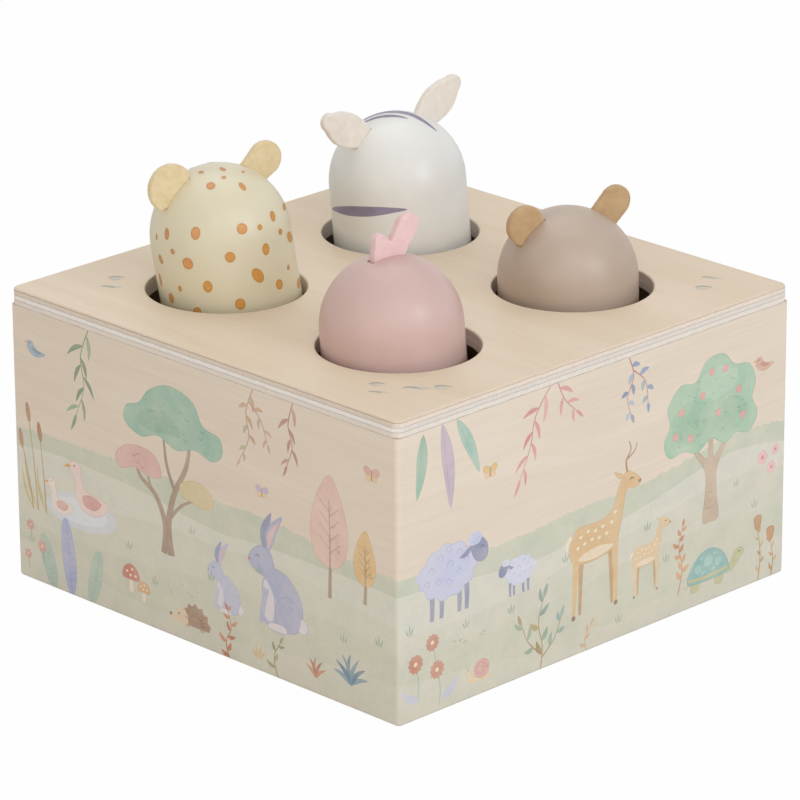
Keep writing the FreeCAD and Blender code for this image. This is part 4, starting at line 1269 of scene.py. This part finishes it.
WALLS = {  # the directions along the wall and out of it, and its picture
    "left_panel": ((0, -1, 0), (-1, 0, 0), left_art),
    "front_panel": ((1, 0, 0), (0, -1, 0), front_art),
    "right_panel": ((0, 1, 0), (1, 0, 0), mirrored(left_art)),
    "back_panel": ((-1, 0, 0), (0, 1, 0), mirrored(front_art)),
}
for node, (along, out, art) in WALLS.items():
    name = "printed_" + node
    piece = put(name, wall_mesh(name, Vector(along), Vector(out), meadow(node) + art))
    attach(piece, "box")
    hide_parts(node)
    print(name, len(piece.data.polygons), "faces")

# %% [markdown]
# ## Lacquered pegs
# The pegs are turned beech, sprayed with a satin lacquer in a soft colour. The lacquer hides
# the grain, has a gentle sheen and a very fine orange peel. A plain Principled shader with a
# roughness of 0.34 to 0.38 gives the sheen. One noise clouds the colour a little and another
# gives the film its slight unevenness.


# %% Satin lacquer
def clouded(tree, place, size, detail, deep, pale, low=0.3, high=0.7):
    """A colour that wanders between two tones in clouds of a size, and the clouds."""
    clouds = add(tree, "TexNoise", {"Vector": place, "Scale": 1 / size, "Detail": detail})
    return stops(add(tree, "ValToRGB", [clouds]), (low, deep), (high, pale)), clouds


def lacquer(name, pale, deep, roughness=0.38):
    """Sprayed satin lacquer on turned wood."""
    material, tree, shader, place = new_material(name)
    colour, _ = clouded(tree, place, 0.018, 3.0, deep, pale, high=0.62)
    # orange peel is about 0.5 mm: drawn at 1.1 mm
    peel = add(tree, "TexNoise", {"Vector": place, "Scale": 1 / 0.0011, "Detail": 1.0})
    film = add(tree, "Bump", {"Height": peel, "Distance": 0.00001, "Strength": 0.4})
    settle(shader, Base_Color=colour, Roughness=roughness, IOR=1.5, Normal=film)
    return material


PEG_LACQUERS = {
    "leopard": lacquer("pale_sage_lacquer", "#E2DABE", "#DDD3B6"),
    "zebra": lacquer("warm_white_lacquer", "#E9E8E3", "#E4E2DC", 0.34),
    "flamingo": lacquer("dusty_pink_lacquer", "#D3B5AE", "#CDAEA6"),
    "hippo": lacquer("taupe_lacquer", "#BFAC9B", "#B8A492"),
}
for animal, finish in PEG_LACQUERS.items():
    peg = nodes[animal + "_peg"].data
    peg.materials.clear()
    peg.materials.append(finish)
print("pegs lacquered:", list(PEG_LACQUERS))

# %% [markdown]
# ## Spots and stripes
# The spots and stripes are printed on the lacquer with a soft pad. They are drawn flat, as a
# viewer in front of the toy sees them, and then thrown straight back on the peg, so that they
# bend with it. Each mark is a skin less than 0.1 mm thick that hugs the peg.

# %% The pegs' axes
PEGS = {  # pivot, axis and height of the dome's centre above the pivot, in millimetres
    "leopard": ((-34.581, 34.581, 87.5), (-0.100854, 0.100854, 0.989776), 19.0),
    "zebra": ((35.924, 35.076, 87.5), (-0.050556, 0.050556, 0.997441), 18.6),
}


def dome_centre(animal):
    """The centre of a peg's round head."""
    pivot, axis, rise = PEGS[animal]
    return Vector(pivot) + Vector(axis).normalized() * rise


def peg_normal(animal, place):
    """The outward direction of a peg's skin at a place."""
    centre, axis = dome_centre(animal), Vector(PEGS[animal][1]).normalized()
    offset = place - centre
    along = offset.dot(axis)
    return (offset if along > 0 else offset - axis * along).normalized()


print("marked pegs:", list(PEGS))

# %% Marks in small cells
RIM_REACH = 0.45  # how far a mark's darker rim reaches in, in millimetres
MARK_CELL = 0.4
MARK_DEPTH = 0.05
RAY_START = 90
FRONT, BACK = 225, 45  # headings of the viewer and of the far side


def edge_shares(points, outline):
    """1 on the outline, falling to 0 at the rim's reach inside it."""
    start, end = outline, np.roll(outline, -1, axis=0)
    way = end - start
    offset = points[:, None, :] - start[None, :, :]
    share = np.clip((offset * way).sum(2) / (way**2).sum(1), 0, 1)
    gaps = np.linalg.norm(offset - share[..., None] * way, axis=2).min(1)
    return np.clip(1 - gaps / RIM_REACH, 0, 1)


def cut_mark(outline):
    """A flat mark in cells small enough to bend: its points, faces and rim shares."""
    ring = np.array([tuple(p) for p in outline])
    low, high = ring.min(0), ring.max(0)
    across, up = (np.arange(a + MARK_CELL / 2, b, MARK_CELL) for a, b in zip(low, high))
    grid = np.array([(x, y) for x in across for y in up]).reshape(-1, 2)
    flat = [Vector(p) for p in outline] + [Vector(p) for p in grid[within(grid, ring)]]
    edges = [(i, (i + 1) % len(ring)) for i in range(len(ring))]
    found = delaunay_2d_cdt(flat, edges, [], 1, WELD, False)
    return found[0], found[2], edge_shares(np.array([tuple(p) for p in found[0]]), ring)


print("mark cutter ready")


# %% Marks thrown on a peg
def mark_mesh(name, animal, outlines, heading, finish, elevation, proud):
    """Flat outlines thrown on a peg from a heading and an elevation."""
    toward = direction(heading, elevation)
    right = Vector((-math.sin(math.radians(heading)), math.cos(math.radians(heading)), 0))
    up = toward.cross(right)
    centre = dome_centre(animal)
    peg = nodes[animal + "_peg"].data
    corners = [vertex.co / MM for vertex in peg.vertices]
    solid = BVHTree.FromPolygons(corners, [tuple(face.vertices) for face in peg.polygons])
    places, faces, rims = [], [], []
    for outline in outlines:
        flat, cells, shares = cut_mark(outline)
        # a mark that reaches past the rim of what is seen is drawn in as a whole
        for pull in (1 - 0.01 * i for i in range(30)):
            hits = []
            for p in flat:
                high = up * p.y * (pull if p.y > 0 else 1)
                start = centre + right * p.x * pull + high + toward * RAY_START
                hits.append(solid.ray_cast(start, -toward)[0])
            if all(hits):
                break
        first, count = len(places), len(flat)
        normals = [peg_normal(animal, hit) for hit in hits]
        places += [hit + normal * proud for hit, normal in zip(hits, normals)]
        places += [hit - normal * MARK_DEPTH for hit, normal in zip(hits, normals)]
        rims += list(shares) * 2
        seen = set()
        for cell in cells:
            faces.append([first + i for i in cell])
            faces.append([first + count + i for i in cell[::-1]])
            seen.update(zip(cell, cell[1:] + cell[:1]))
        for a, b in sorted(seen):
            if (b, a) not in seen:
                faces.append([first + b, first + a, first + count + a, first + count + b])
    mesh = new_mesh(name, places, faces, [finish])
    mesh.attributes.new("rim", "FLOAT", "POINT").data.foreach_set("value", rims)
    mesh.polygons.foreach_set("use_smooth", [True] * len(faces))
    normals = [tuple(peg_normal(animal, places[loop.vertex_index])) for loop in mesh.loops]
    mesh.normals_split_custom_set(normals)
    return mesh


def thrown(name, animal, outlines, heading, finish, elevation=20, proud=0.05):
    """A piece made of marks on a peg."""
    piece = put(name, mark_mesh(name, animal, outlines, heading, finish, elevation, proud))
    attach(piece, animal)
    print(name, len(outlines), "marks")


print("ready to throw marks from", FRONT, "and", BACK, "degrees")


# %% Printing inks
# Pad-printed ink dries with a faint sheen, and its tone wanders where it lies thinner.
def pad_ink(name, size, detail, deep, pale, low, high, roughness):
    """Printing ink in one colour."""
    material, tree, shader, place = new_material(name)
    colour, clouds = clouded(tree, place, size, detail, deep, pale, low, high)
    film = add(tree, "Bump", {"Height": clouds, "Distance": 0.00001, "Strength": 0.3})
    settle(shader, Base_Color=colour, Roughness=roughness, IOR=1.5, Normal=film)
    return material


ring_ink = pad_ink("pale_spot_rim_ink", 0.003, 2.0, "#E0D0AE", "#E5D7B8", 0.35, 0.65, 0.42)
stripe_ink = pad_ink("mauve_grey_stripe_ink", 0.004, 3.0, "#857B90", "#968CA3", 0.3, 0.7, 0.45)
print("plain inks:", ring_ink.name, stripe_ink.name)

# %% Spot ink
# The spots are tan on the left side and golden on the right, darker towards their edge, in a
# pale ring where the pad pressed the ink out.
spot_ink, tree, shader, place = new_material("golden_tan_spot_ink")
axes = add(tree, "SeparateXYZ", [place]).outputs
across = add(tree, "Math", [axes["X"], axes["Y"]], operation="SUBTRACT")
across = add(tree, "Math", [across, axes["Z"]], operation="SUBTRACT")
share = add(tree, "MapRange", [across, -0.205, -0.165])
tone = stops(
    add(tree, "ValToRGB", [share]), (0.0, "#D09464"), (0.5, "#D59856"), (1.0, "#D39848")
)
spread = add(tree, "TexNoise", {"Vector": place, "Scale": 1 / 0.0016, "Detail": 3.0})
soft = add(tree, "MapRange", [spread, 0.3, 0.7, 1.06, 0.93])
rim = add(tree, "Attribute", attribute_name="rim").outputs["Fac"]
rim = add(tree, "MapRange", [rim, 0.0, 1.0, 1.04, 0.78])
soft = add(tree, "Math", [soft, rim], operation="MULTIPLY")
colour = add(tree, "Mix", [1.0, tone, soft], data_type="RGBA", blend_type="MULTIPLY")
film = add(tree, "Bump", {"Height": spread, "Distance": 0.00001, "Strength": 0.3})
settle(shader, Base_Color=colour, Roughness=0.42, IOR=1.5, Normal=film)
print("spot ink ready")

# %% Leopard spots
SPOTS = [  # right and up from the dome's centre, width, height, tilt, as seen by the viewer
    (-6, 18.1, 1.6, 0.8, 0), (0.4, 19, 2, 0.9, -20), (6.5, 18.2, 0.9, 0.6, -20),
    (0.9, 16.4, 1.4, 0.9, 0), (-2.9, 13.8, 2.6, 2.2, 0), (6.5, 13.6, 1.3, 2.9, 40),
    (15.4, 4.8, 1.3, 3.2, 12), (19, 8, 0.7, 2.4, 10), (-16.1, -0.4, 1.3, 3.4, 0),
    (-19.4, -1.2, 0.4, 1.8, 0), (-7.3, -0.4, 2.7, 3.8, -5), (6.5, 0.9, 3, 3.2, 0),
    (11.7, 1.4, 1.3, 1.7, 0), (17.6, 0.2, 1, 1.8, 0), (20.2, -1.2, 1.2, 3.2, 8),
    (-14.4, -5.7, 1.1, 1.7, 20), (-18.2, -7.9, 0.9, 3, 20), (-9.8, -9.3, 2.8, 3.6, 35),
    (2.9, -7.5, 2.9, 3, 0), (13.4, -5.1, 1.9, 3.4, 0), (11, -12.9, 3, 4.4, 30),
    (19.8, -10.4, 0.7, 1.6, 0), (17.2, -15.5, 1.9, 3, 0), (22.9, -14.9, 0.8, 3.2, 0),
    (-3.9, -16.2, 2.7, 3.4, 15), (-12.4, -16.7, 1, 1.8, 15), (-15.2, -19.4, 1.3, 3, 15),
    (-18.6, -13.9, 0.6, 3.6, 10), (5.7, -21.4, 3, 3.2, 0), (-7.3, -23.5, 2.4, 2.4, 0),
]
# the peg's front is nearer to the viewer than its middle and looks larger, so the layout
# shrinks to it
NEARER = 0.96
SHIFT = (0.7, -0.2)
RING = 0.28  # how far the pale ring reaches past its spot
layout = []
for x, y, w, h, tilt in SPOTS:
    layout.append((SHIFT[0] + NEARER * x, NEARER * y + SHIFT[1], w / 2, h / 2, tilt))
front_spots = [oval(x, y, w, h, tilt, 16) for x, y, w, h, tilt in layout]
front_rims = [oval(x, y, w + RING, h + RING, tilt, 16) for x, y, w, h, tilt in layout]
thrown("leopard_spot_rims", "leopard", front_rims, FRONT, ring_ink, proud=0.03)
thrown("leopard_front_spots", "leopard", front_spots, FRONT, spot_ink, proud=0.07)

# %% Spots on the far side
# They are scattered at random, and each keeps clear of the ones before it.
rng = random.Random(5)
back_spots = []
while len(back_spots) < 24:
    x, y = rng.uniform(-17, 17), rng.uniform(-22, 17)
    clear = all((Vector((x, y)) - spot[0]).length > 6 for spot in back_spots)
    if math.hypot(x, max(y, 0)) < 17 and clear:
        size = rng.uniform(1.0, 1.7)
        back_spots.append(oval(x, y, size * 0.8, size, rng.uniform(-30, 30), 14))
thrown("leopard_back_spots", "leopard", back_spots, BACK, spot_ink)


# %% Zebra stripes
# Two crescents round the crown and a long lens across the brow; the far side has three more.
def crescent(points, wide):
    """A stroke that swells from a point and thins to a point again."""
    width = lambda i, last: max(wide * math.sin(math.pi * (i / last) ** 0.8) ** 0.7, 0.12)
    return ribbon(smooth(points, False, 6), width)


brow = smooth(
    [(-19.1, -8.4), (-14.6, -8.3), (-8.7, -8.6), (-2.9, -8.9), (3.1, -9.5), (-2.1, -10.7),
     (-6.7, -11.4), (-10.6, -11.5), (-14.9, -11), (-18.7, -9.5)]
)
crown = crescent(
    [(-11.4, 10.2), (-8, 12.1), (-4, 12.8), (0, 12), (4, 10.4), (8, 7.4), (11.8, 4.4)], 2.9
)
fringe = crescent([(-10.4, 8), (-6.6, 8.9), (-2.7, 8.7), (0.3, 8.1), (3.2, 7)], 1.8)
nape = [
    smooth([(-15, -3), (-8, -1.2), (0, -0.8), (9, -1.6), (16, -3.4), (9, -4.2), (0, -3.8),
            (-8, -4)]),
    smooth([(-16, -12), (-8, -10.6), (2, -10.4), (12, -11.6), (5, -13), (-4, -13.2),
            (-11, -13)]),
    smooth([(-12, 7), (-5, 8.8), (4, 8.8), (12, 7), (5, 6.4), (-4, 6.2)]),
]
thrown("zebra_brow_stripe", "zebra", [brow], FRONT, stripe_ink)
# the crown's two stripes are drawn from higher up, where they lie flat to the view
thrown("zebra_crown_stripes", "zebra", [crown, fringe], FRONT, stripe_ink, elevation=60)
thrown("zebra_back_stripes", "zebra", nape, BACK, stripe_ink)

# %% [markdown]
# ## Marks on the lid
# Small printed leaves lie near the corners of the lid, two strokes each. They are flat, so
# each is a thin plate 0.02 or 0.03 mm proud of the veneer.

# %% Lid leaves
leaf_inks = [
    pad_ink("grey_leaf_ink", 0.002, 3.0, "#A39F92", "#B5B0A3", 0.32, 0.66, 0.5),
    pad_ink("pale_leaf_ink", 0.002, 3.0, "#C3BEB0", "#D2CABB", 0.32, 0.66, 0.5),
]
# the strokes of a leaf, drawn about its middle, across and away from the lid's front corner
DARK_STROKE = [(-2.3, 0.2), (-1.3, 1.4), (0.8, 1.3), (2.4, -0.3), (1.0, 0.2), (-0.8, 0.4)]
PALE_STROKE = [(-2.2, 0.1), (-1.7, -1.5), (-0.1, -2.1), (1.2, -1.5), (0.3, -0.3), (-1.0, 0.1)]
SIDE_STROKE = [(-0.6, 1.2), (1.4, 1.9), (4.6, 0.9), (2.6, -0.1), (0.6, -0.2)]
LID_LEAVES = [  # place, size, lean in degrees and second stroke
    (-62.3, -54.4, 1.0, 0, PALE_STROKE), (-67.6, -58.7, 0.85, -12, SIDE_STROKE),
    (-58.3, -63.9, 1.2, -8, SIDE_STROKE), (-51.3, -69, 1.1, 0, PALE_STROKE),
    (-52.8, 63.8, 1.1, 4, PALE_STROKE), (-60.4, 59.5, 1.0, -14, SIDE_STROKE),
    (67.4, -59.6, 0.95, -14, SIDE_STROKE), (60.5, -64.3, 1.1, 0, PALE_STROKE),
]
PLATE_FOOT = 89.98
plates, plate_faces, plate_inks = [], [], []
for x, y, scale, lean, second in LID_LEAVES:
    turn = math.radians(lean - 45)
    right = Vector((math.cos(turn), math.sin(turn)))
    away = Vector((-math.sin(turn), math.cos(turn)))
    for points, ink, top in ((second, 1, 90.02), (DARK_STROKE, 0, 90.03)):
        ring = [Vector((x, y)) + (right * p.x + away * p.y) * scale for p in smooth(points)]
        first, count = len(plates), len(ring)
        plates += [Vector((p.x, p.y, PLATE_FOOT)) for p in ring]
        plates += [Vector((p.x, p.y, top)) for p in ring]
        loops = [[first + count + i for i in range(count)]]
        loops += [[first + i for i in range(count)][::-1]]
        for i in range(count):
            after = (i + 1) % count
            loops.append([first + i, first + after, first + count + after, first + count + i])
        signed = sum(a.x * b.y - b.x * a.y for a, b in zip(ring, ring[1:] + ring[:1]))
        plate_faces += [face if signed > 0 else face[::-1] for face in loops]
        plate_inks += [ink] * len(loops)
lid_leaves = put("lid_leaves", new_mesh("lid_leaves", plates, plate_faces, leaf_inks))
lid_leaves.data.polygons.foreach_set("material_index", plate_inks)
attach(lid_leaves, "box")
print("lid leaves:", len(LID_LEAVES))

# %% [markdown]
# ## Felt ears and crest
# The ears and the crest are cut from thick wool felt and glued into slots. Felt has soft,
# slightly fuzzy edges and a matted surface. The solid ear is copied, its skin rebuilt in
# small even cells and pushed in and out a little by noise, which rounds its edges and leaves
# it uneven like felt.


# %% Wool felt
def felt(name, pale, deep, seed):
    """Pressed wool felt: matt, mottled and slightly hairy."""
    material, tree, shader, place = new_material(name)
    # matted fibres are 0.03 mm thick: drawn as 0.5 mm tufts
    matted = {"Vector": place, "Scale": 1 / 0.0024, "Detail": 4.0, "Roughness": 0.65, "W": seed}
    mottle = add(tree, "TexNoise", matted, noise_dimensions="4D")
    hairy = {"Vector": place, "Scale": 1 / 0.0006, "Detail": 3.0, "Distortion": 1.2}
    hair = add(tree, "TexNoise", hairy)
    colour = stops(add(tree, "ValToRGB", [mottle]), (0.3, deep), (0.66, pale))
    nap = add(tree, "Bump", {"Height": hair, "Distance": 0.0001, "Strength": 0.5})
    settle(shader, Base_Color=colour, Roughness=0.95, IOR=1.45, Normal=nap)
    settle(shader, Sheen_Weight=0.3, Sheen_Roughness=0.5)
    return material


FELTS = {
    "leopard": felt("straw_wool_felt", "#EDDAB2", "#E0C99B", 1.0),
    "zebra": felt("cream_wool_felt", "#F5EDE2", "#EADFD2", 2.0),
    "flamingo": felt("rose_wool_felt", "#F1D0CE", "#E9C2C1", 3.0),
    "hippo": felt("tan_wool_felt", "#CBAA80", "#BD9C72", 4.0),
}
print("felts:", list(FELTS))

# %% Felt pieces
FELT_CELL = 0.3
FELT_SWELL = 0.05
SMOOTHINGS = 20


def felt_piece(node, animal):
    """A felt piece in place of a solid ear or crest."""
    solid = nodes[node].data.copy()
    solid.name = node + "_felt"
    piece = put(node + "_felt", solid)
    skin = piece.modifiers.new("even_cells", "REMESH")
    skin.mode, skin.voxel_size, skin.use_smooth_shade = "VOXEL", FELT_CELL * MM, True
    ease = piece.modifiers.new("soft_edges", "SMOOTH")
    ease.factor, ease.iterations = 0.5, SMOOTHINGS
    view = bpy.context.evaluated_depsgraph_get()
    baked = bpy.data.meshes.new_from_object(piece.evaluated_get(view))
    piece.modifiers.clear()
    piece.data = baked
    baked.materials.clear()
    baked.materials.append(FELTS[animal])
    baked.update()
    shifts = []
    for vertex in baked.vertices:
        place = vertex.co / MM
        lump = noise.noise(place * 0.55) * 0.6 + noise.noise(place * 1.7) * 0.4
        shifts.append(vertex.co + vertex.normal * lump * FELT_SWELL * MM)
    for vertex, place in zip(baked.vertices, shifts):
        vertex.co = place
    baked.update()
    baked.polygons.foreach_set("use_smooth", [True] * len(baked.polygons))
    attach(piece, animal)
    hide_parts(node)
    print(piece.name, len(baked.polygons), "faces")


for animal in ("leopard", "zebra", "hippo"):
    for side in ("left", "right"):
        felt_piece(f"{animal}_{side}_ear", animal)
felt_piece("flamingo_crest", "flamingo")

# %% [markdown]
# ## Inside the box
# Under the lid each peg stands on a coil spring that is screwed to the base, and the base is
# screwed to four corner blocks of pine. Steel keeps the default index of refraction, since
# its metallic value already gives its reflection.

# %% Steel and pine
# Zinc-plated mild steel: bright, slightly cloudy from the bath.
zinc, tree, shader, place = new_material("zinc_plated_steel")
colour, clouds = clouded(tree, place, 0.003, 3.0, "#BFC4CA", "#D5D8DB")
gloss = add(tree, "MapRange", [clouds, 0.0, 1.0, 0.24, 0.42])
settle(shader, Base_Color=colour, Metallic=1.0, Roughness=gloss)
# Drawn spring steel: darker, with fine marks from the die.
spring_steel, tree, shader, place = new_material("drawn_spring_steel")
colour, clouds = clouded(tree, place, 0.0008, 2.0, "#9C9DA0", "#B4B5B7")
drawn = add(tree, "Bump", {"Height": clouds, "Distance": 0.00001, "Strength": 0.3})
settle(shader, Base_Color=colour, Metallic=1.0, Roughness=0.32, Normal=drawn)
# Sawn pine: growth rings 3 mm apart, bare.
pine, tree, shader, place = new_material("sawn_pine")
waves = {"Vector": place, "Scale": 1 / 0.02, "Distortion": 3.0, "Detail": 2.0}
rings = add(tree, "TexWave", waves, bands_direction="X").outputs["Fac"]
colour = stops(add(tree, "ValToRGB", [rings]), (0.2, "#E3C79A"), (0.9, "#C99F68"))
sawn = add(tree, "Bump", {"Height": rings, "Distance": 0.00008, "Strength": 0.5})
settle(shader, Base_Color=colour, Roughness=0.7, IOR=1.5, Normal=sawn)
print("steel and pine ready")

# %% Finishes on the solid parts
FINISHES = {
    "top_panel": lid_birch,
    "base_panel": plain_birch,
    "base_screws": zinc,
    "spring_seat_washers": zinc,
    "spring_seat_screws": zinc,
}
for corner in ("back_right", "back_left", "front_left", "front_right"):
    FINISHES[corner + "_block"] = pine
for animal in PEG_LACQUERS:
    FINISHES[animal + "_washer"] = FINISHES[animal + "_screw"] = zinc
for node, finish in FINISHES.items():
    nodes[node].data.materials.clear()
    nodes[node].data.materials.append(finish)
print("finished solids:", len(FINISHES))

# %% Springs on the base
# Each spring is copied in spring steel and stays with the box.
SPRINGS = {  # the hole's place and the peg's travel, in millimetres
    "leopard": (-35.5, 35.5, 26),
    "zebra": (35.5, 35.5, 29),
    "flamingo": (-35.5, -35.5, 18),
    "hippo": (35.5, -35.5, 15),
}
for animal, (x, y, travel) in SPRINGS.items():
    coil = put(animal + "_coil", nodes[animal + "_spring"].data.copy())
    coil.data.materials.clear()
    coil.data.materials.append(spring_steel)
    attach(coil, "box")
    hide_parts(animal + "_spring")
    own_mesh(coil)
print("springs:", list(SPRINGS))
